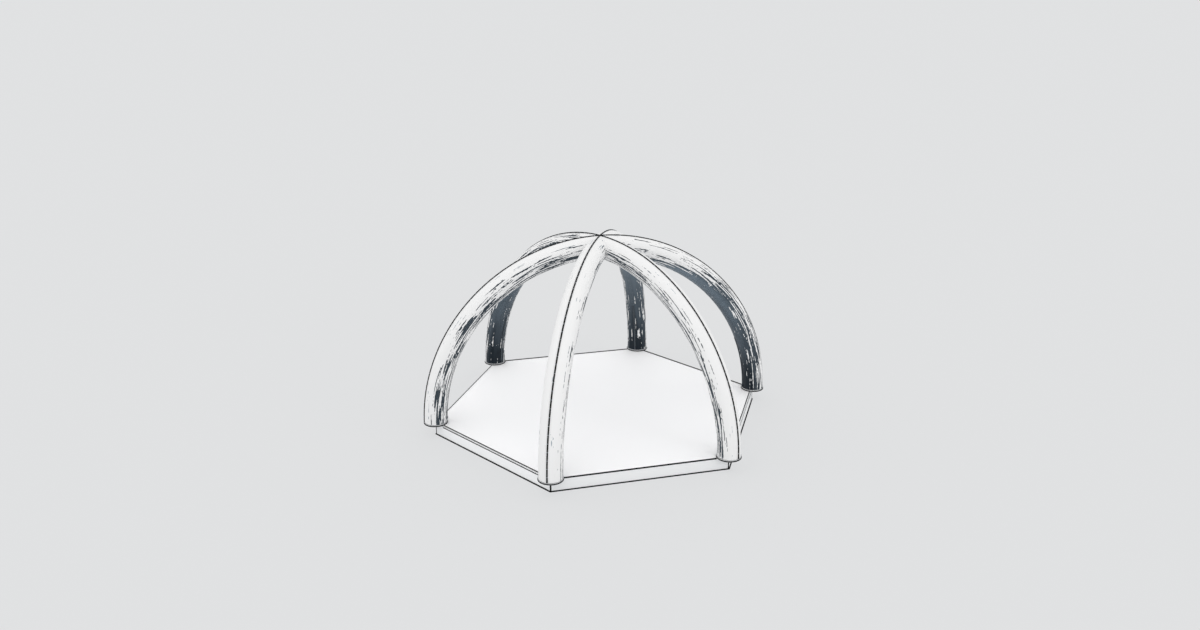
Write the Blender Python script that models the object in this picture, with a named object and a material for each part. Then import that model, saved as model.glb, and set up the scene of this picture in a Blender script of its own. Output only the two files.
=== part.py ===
"""A hexagonal dome frame of six inflatable arched legs, standing on the corners of a low podium.

The origin is on the ground under the middle of the podium, +Z is up and the front leg stands at -Y.
Each leg is a tube whose axis is a quarter circle about the dome centre, which is the middle of the floor.
Six such tubes meet over the middle in a mitred crown, each ending on the planes half-way to its neighbours.
"""

import math

import bmesh
import bpy
from mathutils import Matrix, Vector

for old in list(bpy.data.objects):
    bpy.data.objects.remove(old)

# The plan is a hexagon with a leg on each corner
LEG_NAMES = ("front", "right", "back_right", "back", "back_left", "left")
SIDE_NAMES = ("front_right", "right", "back_right", "back_left", "left", "front_left")
RAIL_SIDES = (1, 5)
SIDES = len(LEG_NAMES)
BAY = 2 * math.pi / SIDES
HALF_BAY = BAY / 2

# Main sizes, in metres
ARC_RADIUS = 3.0
TUBE_DIAMETER = 0.394
PODIUM_HEIGHT = 0.224

# Clearance between pieces that rest on each other, and between neighbours in the crown
SEAT = 0.0004
MITRE_GAP = 0.0003

# Edges that turn less than this are shaded as parts of a round face
SMOOTH_UP_TO = math.radians(37)

# Leg: sleeve, air chamber and the welt along the outer spine
AROUND = 12
ARC_ROWS = 11
SHOULDER_LEAD = math.radians(2)
SLEEVE_WALL = 0.002
SEAM_GAP = 0.0006
BLADDER_FIT = 0.0006
BLADDER_WALL = 0.0015
PIPING_WIDTH = 0.026
PIPING_HEIGHT = 0.009
PIPING_EDGE = 0.003

# Zip at the foot of the inner spine, and its slider
ZIP_ROWS = 3
ZIP_TAPE_WIDTH = 0.032
ZIP_TAPE = 0.0015
ZIP_COIL_WIDTH = 0.009
ZIP_COIL_HEIGHT = 0.008
SLIDER_LENGTH = 0.044
SLIDER_WALL = 0.005
SLIDER_ROOF = 0.003
SLIDER_CLEARANCE = 0.0005
SLIDER_REST_HEIGHT = 0.075
PULL_GAP = 0.003
PULL_NECK = 0.006
PULL_WIDTH = 0.010
PULL_LENGTH = 0.050
PULL_THICKNESS = 0.003

# Foot cup under each leg, wider than the tube by its wall and the lean of the sleeve
CUP_WALL = 0.010
CUP_FACETS = 20
CUP_FLOOR = 0.010
CUP_HEIGHT = 0.038
SPIGOT_PROUD = 0.006
STUD_DIAMETER = 0.016
STUD_LENGTH = 0.070
STUD_FACETS = 8

# Podium
COVERING = 0.003
DECK_BOARD = 0.018
DECK_JOINT = 0.002
FASCIA = 0.018
DECK_EDGE_GAP = 0.001
NOTCH_GAP = 0.001
RAIL_PROUD = 0.006
RAIL_INSET = 0.023
RAIL_PLATE = 0.003
BEAM_HEIGHT = 0.100
BEAM_WIDTH = 0.040
BEAM_WALL = 0.004
BEAM_STEP = 0.001
WELD_DEPTH = 0.012
POST_DIAMETER = 0.064
POST_INSET = 0.130
POST_FACETS = 10
HUB_DIAMETER = 0.120
BASE_PLATE = 0.200
BASE_PLATE_THICKNESS = 0.010

# Levelling feet, screwed into the corner posts
PAD_DIAMETER = 0.090
PAD_RIM = 0.007
PAD_HEIGHT = 0.012
SPINDLE_DIAMETER = 0.020
SPINDLE_LENGTH = 0.098
COLLAR_DIAMETER = 0.030
BORE_CLEARANCE = 0.0005
BORE_SPARE = 0.004

# Inflation valve, on the outer flank of the back leg
VALVE_LEG = 3
VALVE_COLUMN = 1
VALVE_ROW = 1
VALVE_FACETS = 16
FLANGE_DIAMETER = 0.084
FLANGE_THICKNESS = 0.005
NECK_DIAMETER = 0.048
NECK_LENGTH = 0.024
NECK_FIT = 0.0004
MOUTH_DIAMETER = 0.036
SEAT_DIAMETER = 0.024
SEAT_THICKNESS = 0.003
DISC_DIAMETER = 0.030
DISC_THICKNESS = 0.003
STEM_DIAMETER = 0.006
BUTTON_DIAMETER = 0.014
BUTTON_THICKNESS = 0.003
BUTTON_DEPTH = 0.009
CAP_DIAMETER = 0.056
CAP_THICKNESS = 0.004
CAP_PLUG_DEPTH = 0.003
CAP_PLUG_CLEARANCE = 0.001
HINGE_OFFSET = 0.034
KNUCKLE_DIAMETER = 0.006
KNUCKLE_LENGTH = 0.014
KNUCKLE_FACETS = 8
LUG_WIDTH = 0.004

# Values that follow from the sizes above
TUBE_RADIUS = TUBE_DIAMETER / 2
APOTHEM = ARC_RADIUS * math.cos(HALF_BAY)
SEAT_LEVEL = PODIUM_HEIGHT - COVERING
DECK_TOP = SEAT_LEVEL - SEAT
FRAME_TOP = DECK_TOP - DECK_BOARD - SEAT
LEDGE_LOW = FRAME_TOP + SEAT
LEDGE_TOP = LEDGE_LOW + RAIL_PLATE
DOME_CENTRE = Vector((0, 0, PODIUM_HEIGHT))
CUP_RADIUS = TUBE_RADIUS + CUP_WALL
CUP_FLOOR_LEVEL = CUP_FLOOR - COVERING
SLEEVE_FOOT = CUP_FLOOR_LEVEL + SEAT
CUP_RIM_LEVEL = CUP_HEIGHT - COVERING + SEAT
BLADDER_FOOT = CUP_RIM_LEVEL + SPIGOT_PROUD
SPINE_SLOPE = math.tan(math.pi / AROUND)
ZIP_BED = ARC_RADIUS - TUBE_RADIUS - SEAT
ZIP_TOP = ZIP_BED - ZIP_TAPE - ZIP_COIL_HEIGHT
SLIDER_REST = math.asin(SLIDER_REST_HEIGHT / ZIP_BED)
FLANGE_TOP = SEAT + FLANGE_THICKNESS
HINGE_LEVEL = FLANGE_TOP + SEAT + KNUCKLE_DIAMETER / 2


def direction(angle):
    """Unit vector in plan, turned by the angle from the front leg's direction."""
    return Vector((math.sin(angle), -math.cos(angle), 0))


# Materials


def srgb(code):
    """Linear colour of an sRGB hex code."""
    parts = [int(code[i : i + 2], 16) / 255 for i in (1, 3, 5)]
    linear = [c / 12.92 if c <= 0.04045 else ((c + 0.055) / 1.055) ** 2.4 for c in parts]
    return (*linear, 1)


def material(name, code, roughness, metallic=0.0):
    made = bpy.data.materials.new(name)
    made.use_nodes = True
    shader = made.node_tree.nodes["Principled BSDF"]
    shader.inputs["Base Color"].default_value = srgb(code)
    shader.inputs["Roughness"].default_value = roughness
    shader.inputs["Metallic"].default_value = metallic
    made.diffuse_color = srgb(code)
    return made


WHITE_FABRIC = material("white_coated_fabric", "#F2F3F3", 0.6)
DARK_FABRIC = material("slate_coated_fabric", "#2E3A44", 0.55)
PIPING = material("black_piping", "#1C2127", 0.6)
FILM = material("air_chamber_film", "#C9D2D6", 0.4)
CUP_PLASTIC = material("grey_foot_cup", "#D9DBDD", 0.5)
ZIP_NYLON = material("black_zip_nylon", "#20262C", 0.6)
SLIDER_METAL = material("slider_metal", "#4A5158", 0.4, 1.0)
VALVE_PLASTIC = material("valve_plastic", "#3B444C", 0.45)
COVER_VINYL = material("white_floor_vinyl", "#F3F3F4", 0.7)
PLYWOOD = material("plywood", "#C7A77B", 0.7)
ALUMINIUM = material("aluminium", "#B8BCC0", 0.4, 1.0)
FASCIA_PAINT = material("pale_fascia_paint", "#E6E7E8", 0.55)
RAIL_PAINT = material("pale_rail_paint", "#E6E7E8", 0.5)
STEEL = material("zinc_plated_steel", "#A4A8AC", 0.35, 1.0)


# Solids from plain meshes


def finish_mesh(bm, name):
    """A mesh with its faces outwards and its round faces shaded smooth."""
    bmesh.ops.recalc_face_normals(bm, faces=bm.faces)
    mesh = bpy.data.meshes.new(name)
    bm.to_mesh(mesh)
    bm.free()
    mesh.shade_smooth()
    mesh.set_sharp_from_angle(angle=SMOOTH_UP_TO)
    return mesh


def add_object(name, mesh, finish, matrix=None):
    """An object of that mesh in the scene, placed by the matrix."""
    made = bpy.data.objects.new(name, mesh)
    if not mesh.materials:
        mesh.materials.append(finish)
    if matrix is not None:
        made.matrix_world = matrix
    bpy.context.scene.collection.objects.link(made)
    return made


def axes(u, v, w):
    """Matrix that lays a section's own directions along three others."""
    return Matrix((u, v, w)).transposed().to_4x4()


def bar(name, section, low, high, frame=Matrix.Identity(4)):
    """A flat section, drawn from one level to another across its plane."""
    bm = bmesh.new()
    below = [bm.verts.new(frame @ Vector((p[0], p[1], low))) for p in section]
    above = [bm.verts.new(frame @ Vector((p[0], p[1], high))) for p in section]
    bm.faces.new(below)
    bm.faces.new(above)
    for i in range(len(section)):
        j = (i + 1) % len(section)
        bm.faces.new((below[i], below[j], above[j], above[i]))
    return finish_mesh(bm, name)


def block(name, size, centre, low, high):
    """A box of a size in plan, about a centre, from one level to another."""
    (width, depth), (x, y) = size, centre
    corners = ((-1, -1), (1, -1), (1, 1), (-1, 1))
    return bar(name, [(x + i * width / 2, y + j * depth / 2) for i, j in corners], low, high)


def turned(name, profile, facets, ring=False):
    """A profile of (radius, height) points turned about Z: with flat ends, or closed on itself."""
    bm = bmesh.new()
    loops = []
    for i in range(facets):
        around = 2 * math.pi * i / facets
        x, y = math.cos(around), math.sin(around)
        loops.append([bm.verts.new((radius * x, radius * y, height)) for radius, height in profile])
    spans = list(range(len(profile) - 1))
    if ring:
        spans.append(-1)
    else:
        bm.faces.new([loop[0] for loop in loops])
        bm.faces.new([loop[-1] for loop in loops])
    for i, here in enumerate(loops):
        there = loops[(i + 1) % facets]
        for k in spans:
            bm.faces.new((here[k], here[k + 1], there[k + 1], there[k]))
    return finish_mesh(bm, name)


def cylinder(name, diameter, low, high, facets):
    return turned(name, [(diameter / 2, low), (diameter / 2, high)], facets)


def shape(target, operation, mesh, matrix=Matrix.Identity(4)):
    """Joins the mesh to the target, or cuts it away, and keeps the result as the target's mesh."""
    tool = add_object("tool", mesh, FILM, matrix)
    change = target.modifiers.new(operation, "BOOLEAN")
    change.operation = operation
    change.solver = "EXACT"
    change.object = tool
    bpy.context.view_layer.update()
    seen = target.evaluated_get(bpy.context.evaluated_depsgraph_get())
    result = bpy.data.meshes.new_from_object(seen)
    target.modifiers.clear()
    target.data = result
    bpy.data.objects.remove(tool)


def take_mesh(carrier):
    """The mesh of an object that only served to shape it."""
    mesh = carrier.data
    bpy.data.objects.remove(carrier)
    return mesh


# Arched pieces of a leg: a section of (x, radius from the dome axis) points, swept up the arc


def mitre_angle(x, radius, gap=MITRE_GAP):
    """Angle up the arc at which a point of the section reaches the plane towards the next leg."""
    reach = (abs(x) + gap / math.cos(HALF_BAY)) / math.tan(HALF_BAY)
    return math.acos(reach / radius)


ROW_STEP = (mitre_angle(TUBE_RADIUS, ARC_RADIUS) - SHOULDER_LEAD) / ARC_ROWS


def arc_point(x, radius, angle):
    return Vector((x, -radius * math.cos(angle), radius * math.sin(angle)))


def column(x, radius, foot_height, rows=ARC_ROWS, gap=MITRE_GAP):
    """Points up the arc: level at the foot, even steps, then the mitre at the crown.

    Every layer starts on the straight facet that rises from the sleeve's foot, so that they nest.
    """
    points = [arc_point(x, radius, ROW_STEP * row) for row in range(1, rows + 1)]
    base = arc_point(x, radius, math.asin(SLEEVE_FOOT / radius))
    rise = (foot_height - base.z) / (points[0].z - base.z)
    points.insert(0, base.lerp(points[0], rise))
    if rows == ARC_ROWS:
        points.append(arc_point(x, radius, mitre_angle(x, radius, gap)))
    return points


def add_cell(bm, near, far, row):
    """Two triangles between columns, split the same way on every layer of the leg."""
    bm.faces.new((near[row], near[row + 1], far[row]))
    bm.faces.new((far[row], near[row + 1], far[row + 1]))


def swept(name, outer, inner, foot_height, rows=ARC_ROWS):
    """A closed solid between two matched chains of section points, swept up the arc."""
    bm = bmesh.new()
    layers = []
    for chain in (outer, inner):
        columns = []
        for x, radius in chain:
            columns.append([bm.verts.new(point) for point in column(x, radius, foot_height, rows)])
        layers.append(columns)
        for i in range(len(chain) - 1):
            near, far = sorted((i, i + 1), key=lambda k: abs(chain[k][0]))
            for row in range(len(columns[0]) - 1):
                add_cell(bm, columns[near], columns[far], row)
    top, base = layers
    for end in (0, -1):
        for i in range(len(outer) - 1):
            bm.faces.new((top[i][end], top[i + 1][end], base[i + 1][end], base[i][end]))
        for row in range(len(top[0]) - 1):
            corners = (top[end][row], top[end][row + 1], base[end][row + 1], base[end][row])
            bm.faces.new(corners)
    return finish_mesh(bm, name)


def half_ring(radius, middle):
    """Half of the tube's section about a middle angle, short of the side seams by half their gap."""
    trim = SEAM_GAP / 2 / radius
    points = []
    for i in range(AROUND // 2 + 1):
        turn = -math.pi / 2 + i * 2 * math.pi / AROUND
        turn = middle + min(max(turn, trim - math.pi / 2), math.pi / 2 - trim)
        points.append((radius * math.sin(turn), ARC_RADIUS + radius * math.cos(turn)))
    return points


def leg_matrix(leg):
    """From a leg's own frame, with the dome centre as origin, to the part's frame."""
    return Matrix.Translation(DOME_CENTRE) @ Matrix.Rotation(leg * BAY, 4, "Z")


def sleeve_mesh(name, middle):
    return swept(
        name,
        half_ring(TUBE_RADIUS, middle),
        half_ring(TUBE_RADIUS - SLEEVE_WALL, middle),
        SLEEVE_FOOT,
    )


def piping_mesh():
    """A half-round welt that follows the two facets of the outer spine."""
    half = PIPING_WIDTH / 2
    inner = []
    outer = []
    for x in (-half, -half / 2, 0, half / 2, half):
        base = ARC_RADIUS + TUBE_RADIUS + SEAT - abs(x) * SPINE_SLOPE
        rise = PIPING_EDGE + (PIPING_HEIGHT - PIPING_EDGE) * math.sqrt(1 - (x / half) ** 2)
        inner.append((x, base))
        outer.append((x, base + rise))
    return swept("spine_piping", outer, inner, CUP_RIM_LEVEL)


def zip_mesh():
    """Tape along the two facets of the inner spine, with the closed coil standing on it."""
    tape, coil = ZIP_TAPE_WIDTH / 2, ZIP_COIL_WIDTH / 2
    inner = []
    outer = []
    for x, foot in ((-tape, -tape), (-coil, -coil), (-coil, -coil / 2), (0, 0)):
        bed = ZIP_BED + abs(foot) * SPINE_SLOPE
        inner.append((foot, bed))
        outer.append((x, ZIP_TOP if abs(foot) < coil else bed - ZIP_TAPE))
    inner += [(-x, radius) for x, radius in reversed(inner[:-1])]
    outer += [(-x, radius) for x, radius in reversed(outer[:-1])]
    return swept("access_zip", outer, inner, CUP_RIM_LEVEL, ZIP_ROWS)


def slider_mesh():
    """A channel that straddles the coil, with its pull hanging from the upper end.

    The zip lies on straight facets and the slider runs on a true arc, so the skirts and the
    ceiling clear the middle of a facet.
    """
    facet_bulge = math.cos(ROW_STEP / 2)
    skirt = (ZIP_BED - ZIP_TAPE) * facet_bulge - SLIDER_CLEARANCE
    ceiling = ZIP_TOP * facet_bulge - SLIDER_CLEARANCE
    roof = ceiling - SLIDER_ROOF
    inside = ZIP_COIL_WIDTH / 2 + SLIDER_CLEARANCE
    outside = inside + SLIDER_WALL
    channel = [(-outside, skirt), (-inside, skirt), (-inside, ceiling), (inside, ceiling)]
    channel += [(inside, skirt), (outside, skirt), (outside, roof), (-outside, roof)]
    across = Vector((1, 0, 0))
    outward = Vector((0, -math.cos(SLIDER_REST), math.sin(SLIDER_REST)))
    upward = Vector((0, math.sin(SLIDER_REST), math.cos(SLIDER_REST)))
    half = SLIDER_LENGTH / 2
    body = bar("zip_slider", channel, -half, half, axes(across, outward, upward))
    carrier = add_object("slider", body, SLIDER_METAL)
    hang = roof - PULL_GAP
    neck, tip = half - PULL_NECK, half - PULL_LENGTH
    pull = [(half, roof + SLIDER_ROOF / 2), (half, hang - PULL_THICKNESS)]
    pull += [(tip, hang - PULL_THICKNESS), (tip, hang), (neck, hang)]
    pull += [(neck, roof + SLIDER_ROOF / 2)]
    frame = axes(upward, outward, across)
    tab = bar("pull", pull, -PULL_WIDTH / 2, PULL_WIDTH / 2, frame)
    shape(carrier, "UNION", tab)
    return take_mesh(carrier)


def foot_cup_mesh():
    """A round cup that holds the sleeve's hem, a spigot inside it and a stud towards the middle.

    Both clear the leg, which leans inwards from its foot.
    """
    lean = math.tan(ROW_STEP / 2)
    inside = TUBE_RADIUS + (CUP_HEIGHT - CUP_FLOOR) * lean + SEAT
    inside /= math.cos(math.pi / CUP_FACETS)
    top = CUP_HEIGHT + SPIGOT_PROUD
    spigot = (TUBE_RADIUS - SLEEVE_WALL) * math.cos(math.pi / AROUND)
    spigot -= (top - CUP_FLOOR) * lean + SEAT
    cup = [(CUP_RADIUS, 0), (CUP_RADIUS, CUP_HEIGHT), (inside, CUP_HEIGHT), (inside, CUP_FLOOR)]
    cup += [(spigot, CUP_FLOOR), (spigot, top)]
    carrier = add_object("cup", turned("foot_cup", cup, CUP_FACETS), CUP_PLASTIC)
    stud = cylinder("stud", STUD_DIAMETER, -STUD_LENGTH, CUP_FLOOR / 2, STUD_FACETS)
    shape(carrier, "UNION", stud, Matrix.Translation((0, POST_INSET, 0)))
    return take_mesh(carrier)


# Air chamber: one star of six tubes, open where the valve goes through its wall


def star_shell(radius, foot_height, outwards):
    """The closed surface of six mitred tubes."""
    bm = bmesh.new()
    for leg in range(SIDES):
        turn = Matrix.Rotation(leg * BAY, 4, "Z")
        columns = []
        for i in range(AROUND):
            around = 2 * math.pi * i / AROUND
            x, reach = radius * math.sin(around), ARC_RADIUS + radius * math.cos(around)
            points = column(x, reach, foot_height, gap=0)
            columns.append([bm.verts.new(turn @ point) for point in points])
        for i in range(AROUND):
            pair = (columns[i], columns[(i + 1) % AROUND])
            near, far = sorted(pair, key=lambda c: abs((turn.inverted() @ c[0].co).x))
            for row in range(len(near) - 1):
                add_cell(bm, near, far, row)
        bm.faces.new([column[0] for column in columns])
    bmesh.ops.remove_doubles(bm, verts=bm.verts, dist=1e-5)
    bmesh.ops.recalc_face_normals(bm, faces=bm.faces)
    if not outwards:
        bmesh.ops.reverse_faces(bm, faces=bm.faces)
    return bm


def bladder_mesh():
    outside = TUBE_RADIUS - SLEEVE_WALL - BLADDER_FIT
    shell = star_shell(outside, BLADDER_FOOT, True)
    lining = star_shell(outside - BLADDER_WALL, BLADDER_FOOT + BLADDER_WALL, False)
    inner = bpy.data.meshes.new("lining")
    lining.to_mesh(inner)
    lining.free()
    shell.from_mesh(inner)
    mesh = bpy.data.meshes.new("air_chamber")
    shell.to_mesh(mesh)
    shell.free()
    return mesh


# Inflation valve, built about its own axis with +Z out of the leg and +Y up the leg


def valve_frame():
    """Matrix of the valve's seat: the middle of one facet of the sleeve."""
    corners = []
    for column in (VALVE_COLUMN, VALVE_COLUMN + 1):
        around = 2 * math.pi * column / AROUND
        x, reach = TUBE_RADIUS * math.sin(around), ARC_RADIUS + TUBE_RADIUS * math.cos(around)
        corners += [arc_point(x, reach, ROW_STEP * (VALVE_ROW + row)) for row in (0, 1)]
    low_near, high_near, low_far, high_far = corners
    upward = (high_near + high_far - low_near - low_far).normalized()
    sideways = (low_far - low_near).normalized()
    outward = upward.cross(sideways).normalized()
    if outward.y > 0:
        outward.negate()
    middle = sum(corners, Vector()) / len(corners)
    seat = axes(upward.cross(outward), upward, outward)
    return leg_matrix(VALVE_LEG) @ Matrix.Translation(middle) @ seat


def valve_body_mesh():
    """Flange outside the sleeve, neck through sleeve and chamber, and a seat for the disc."""
    mouth, neck, throat = MOUTH_DIAMETER / 2, NECK_DIAMETER / 2, SEAT_DIAMETER / 2
    ledge = SEAT_THICKNESS - NECK_LENGTH
    ring = [(mouth, FLANGE_TOP), (FLANGE_DIAMETER / 2, FLANGE_TOP), (FLANGE_DIAMETER / 2, SEAT)]
    ring += [(neck, SEAT), (neck, -NECK_LENGTH), (throat, -NECK_LENGTH)]
    ring += [(throat, ledge), (mouth, ledge)]
    carrier = add_object("valve", turned("valve_body", ring, VALVE_FACETS, True), VALVE_PLASTIC)
    for side in (-1, 1):
        x = side * (KNUCKLE_LENGTH / 2 + SEAT + LUG_WIDTH / 2)
        size = (LUG_WIDTH, KNUCKLE_DIAMETER)
        low, high = FLANGE_TOP - FLANGE_THICKNESS / 2, HINGE_LEVEL + KNUCKLE_DIAMETER / 2
        shape(carrier, "UNION", block("lug", size, (x, HINGE_OFFSET), low, high))
    return take_mesh(carrier)


def valve_cap_mesh():
    """Lid with a short plug and a knuckle, about the hinge line as origin."""
    low = -KNUCKLE_DIAMETER / 2
    lid, plug = CAP_DIAMETER / 2, MOUTH_DIAMETER / 2 - CAP_PLUG_CLEARANCE
    profile = [(plug, low - CAP_PLUG_DEPTH), (plug, low), (lid, low), (lid, low + CAP_THICKNESS)]
    centre = Matrix.Translation((0, -HINGE_OFFSET, 0))
    mesh = turned("valve_cap", profile, VALVE_FACETS)
    mesh.transform(centre)
    carrier = add_object("cap", mesh, VALVE_PLASTIC)
    strap_start = -(HINGE_OFFSET - lid) - CAP_THICKNESS
    size = (KNUCKLE_LENGTH - KNUCKLE_DIAMETER, -strap_start)
    strap = block("strap", size, (0, strap_start / 2), low + CAP_THICKNESS / 4, low + CAP_THICKNESS * 3 / 4)
    shape(carrier, "UNION", strap)
    reach = KNUCKLE_LENGTH / 2
    along_x = Matrix.Rotation(math.pi / 2, 4, "Y")
    knuckle = cylinder("knuckle", KNUCKLE_DIAMETER, -reach, reach, KNUCKLE_FACETS)
    shape(carrier, "UNION", knuckle, along_x)
    return take_mesh(carrier)


def valve_plunger_mesh():
    """Sealing disc under the seat, and a stem up to a button in the mouth."""
    under = -NECK_LENGTH - SEAT
    disc, stem, button = DISC_DIAMETER / 2, STEM_DIAMETER / 2, BUTTON_DIAMETER / 2
    button_top = FLANGE_TOP - BUTTON_DEPTH
    button_low = button_top - BUTTON_THICKNESS
    profile = [(disc, under - DISC_THICKNESS), (disc, under), (stem, under)]
    profile += [(stem, button_low), (button, button_low), (button, button_top)]
    return turned("valve_plunger", profile, VALVE_FACETS // 2)


# Podium


def meet(first, second):
    """Where two lines in plan cross, each given as the angle of its normal and its offset."""
    (a, p), (b, q) = first, second
    normal_a, normal_b = direction(a), direction(b)
    turn = normal_a.x * normal_b.y - normal_a.y * normal_b.x
    x = (p * normal_b.y - q * normal_a.y) / turn
    y = (normal_a.x * q - normal_b.x * p) / turn
    return x, y


def outline(lines):
    """The corners of the shape that consecutive lines enclose."""
    return [meet(line, lines[(i + 1) % len(lines)]) for i, line in enumerate(lines)]


def side_line(side, offset):
    return (side + 0.5) * BAY, offset


def half_length(offset):
    """Half of a side's length at a distance from the middle, short of its mitred ends."""
    return offset * math.tan(HALF_BAY) - MITRE_GAP / math.cos(HALF_BAY)


def side_matrix(side):
    """From a side's own frame, with its outside towards -Y, to the part's frame."""
    return Matrix.Rotation((side + 0.5) * BAY, 4, "Z")


def fascia_mesh(top):
    """Upright board on one side, mitred with its neighbours."""
    inner = APOTHEM - FASCIA
    ends = [(-half_length(APOTHEM), -APOTHEM), (half_length(APOTHEM), -APOTHEM)]
    ends += [(half_length(inner), -inner), (-half_length(inner), -inner)]
    return bar("fascia", ends, 0, top)


def notch(low):
    """Cutter that leaves room round a foot cup, from a level upwards."""
    return cylinder("notch", 2 * (CUP_RADIUS + NOTCH_GAP), low, PODIUM_HEIGHT + NOTCH_GAP, CUP_FACETS)


def corner(leg):
    return direction(leg * BAY) * ARC_RADIUS


def edge_rail_mesh():
    """A stepped plate down the fascia, over its lower top and up the edge of the floor."""
    back, front = APOTHEM + SEAT, APOTHEM + RAIL_PROUD
    long, short = half_length(APOTHEM), half_length(APOTHEM) - RAIL_PROUD
    face = [(-short, -front), (short, -front), (long, -back), (-long, -back)]
    carrier = add_object("rail", bar("edge_rail", face, 0, LEDGE_TOP), RAIL_PAINT)
    lip, root = APOTHEM - RAIL_INSET, APOTHEM + RAIL_PROUD / 2
    end = half_length(lip)
    ledge = [(-end, -root), (end, -root), (end, -lip), (-end, -lip)]
    shape(carrier, "UNION", bar("ledge", ledge, LEDGE_LOW, LEDGE_TOP))
    riser = [(-end, -lip - RAIL_PLATE), (end, -lip - RAIL_PLATE), (end, -lip), (-end, -lip)]
    shape(carrier, "UNION", bar("riser", riser, LEDGE_LOW, PODIUM_HEIGHT))
    for bay_end in (-HALF_BAY, HALF_BAY):
        place = Matrix.Translation(direction(bay_end) * ARC_RADIUS) @ Matrix.Rotation(bay_end, 4, "Z")
        shape(carrier, "DIFFERENCE", notch(DECK_TOP), place)
    return take_mesh(carrier)


def covering_mesh():
    """Floor sheet, cut back for the rails and round the foot cups."""
    lines = []
    for side in range(SIDES):
        offset = APOTHEM - RAIL_INSET - NOTCH_GAP if side in RAIL_SIDES else APOTHEM
        lines.append(side_line(side, offset))
    carrier = add_object("sheet", bar("floor", outline(lines), SEAT_LEVEL, PODIUM_HEIGHT), COVER_VINYL)
    for leg in range(SIDES):
        place = Matrix.Translation(corner(leg)) @ Matrix.Rotation(leg * BAY, 4, "Z")
        shape(carrier, "DIFFERENCE", notch(SEAT_LEVEL - NOTCH_GAP), place)
    return take_mesh(carrier)


def post_matrix(leg):
    """Place of a corner post's axis on the ground."""
    spot = direction(leg * BAY) * (ARC_RADIUS - POST_INSET)
    return Matrix.Translation(spot) @ Matrix.Rotation(leg * BAY, 4, "Z")


def deck_panel_mesh(panel):
    """One of three boards, from the middle to two sides, with a joint to its neighbours."""
    first = 2 * panel
    lines = []
    for side in (first, first + 1):
        inset = RAIL_INSET if side in RAIL_SIDES else FASCIA
        lines.append(side_line(side, APOTHEM - inset - DECK_EDGE_GAP))
    lines.append(((first + 2) * BAY + math.pi / 2, -DECK_JOINT / 2))
    lines.append((first * BAY - math.pi / 2, -DECK_JOINT / 2))
    board = bar("deck_panel", outline(lines), FRAME_TOP + SEAT, DECK_TOP)
    carrier = add_object("board", board, PLYWOOD)
    hole = STUD_DIAMETER + 2 * DECK_EDGE_GAP
    for leg in range(first, first + 3):
        tool = cylinder("hole", hole, FRAME_TOP, PODIUM_HEIGHT, STUD_FACETS)
        shape(carrier, "DIFFERENCE", tool, post_matrix(leg))
    return take_mesh(carrier)


def rim_mesh():
    """Channel section, open inwards, round the six sides."""
    outer, inner = APOTHEM - FASCIA - SEAT, APOTHEM - FASCIA - SEAT - BEAM_WIDTH
    low, high = FRAME_TOP - BEAM_HEIGHT, FRAME_TOP
    web = outer - BEAM_WALL
    section = [(outer, low), (outer, high), (inner, high), (inner, high - BEAM_WALL)]
    section += [(web, high - BEAM_WALL), (web, low + BEAM_WALL), (inner, low + BEAM_WALL)]
    section += [(inner, low)]
    bm = bmesh.new()
    loops = []
    for leg in range(SIDES):
        way = direction(leg * BAY) / math.cos(HALF_BAY)
        loops.append([bm.verts.new((way.x * a, way.y * a, z)) for a, z in section])
    for leg in range(SIDES):
        here, there = loops[leg], loops[(leg + 1) % SIDES]
        for i in range(len(section)):
            j = (i + 1) % len(section)
            bm.faces.new((here[i], here[j], there[j], there[i]))
    return finish_mesh(bm, "rim")


def beam_mesh(start, end):
    """I-section beam on the line from the middle to a corner, cut off in the web of the rim."""
    half, thin = BEAM_WIDTH / 2, BEAM_WALL / 2
    low, high = FRAME_TOP - BEAM_HEIGHT + BEAM_STEP, FRAME_TOP - BEAM_STEP
    under, over = low + BEAM_WALL, high - BEAM_WALL
    section = [(-half, low), (half, low), (half, under), (thin, under), (thin, over), (half, over)]
    section += [(half, high), (-half, high), (-half, over), (-thin, over), (-thin, under)]
    section += [(-half, under)]
    frame = axes(Vector((1, 0, 0)), Vector((0, 0, 1)), Vector((0, -1, 0)))
    carrier = add_object("beam", bar("beam", section, start, end, frame), ALUMINIUM)
    middle_of_web = APOTHEM - FASCIA - SEAT - BEAM_WALL / 2
    trim = outline([side_line(side, middle_of_web) for side in range(SIDES)])
    shape(carrier, "INTERSECT", bar("trim", trim, 0, PODIUM_HEIGHT))
    return take_mesh(carrier)


def post_mesh():
    """Corner post, bored from above for the foot cup's stud and from below for the spindle."""
    stud_bore = STUD_DIAMETER / 2 + BORE_CLEARANCE
    stud_end = SEAT_LEVEL - STUD_LENGTH - BORE_SPARE
    spindle_bore = SPINDLE_DIAMETER / 2 + BORE_CLEARANCE
    spindle_end = PAD_HEIGHT + SPINDLE_LENGTH + BORE_SPARE
    foot, side = PAD_HEIGHT + SEAT, POST_DIAMETER / 2
    profile = [(spindle_bore, spindle_end), (spindle_bore, foot), (side, foot)]
    profile += [(side, FRAME_TOP), (stud_bore, FRAME_TOP), (stud_bore, stud_end)]
    return turned("post", profile, POST_FACETS)


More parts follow.
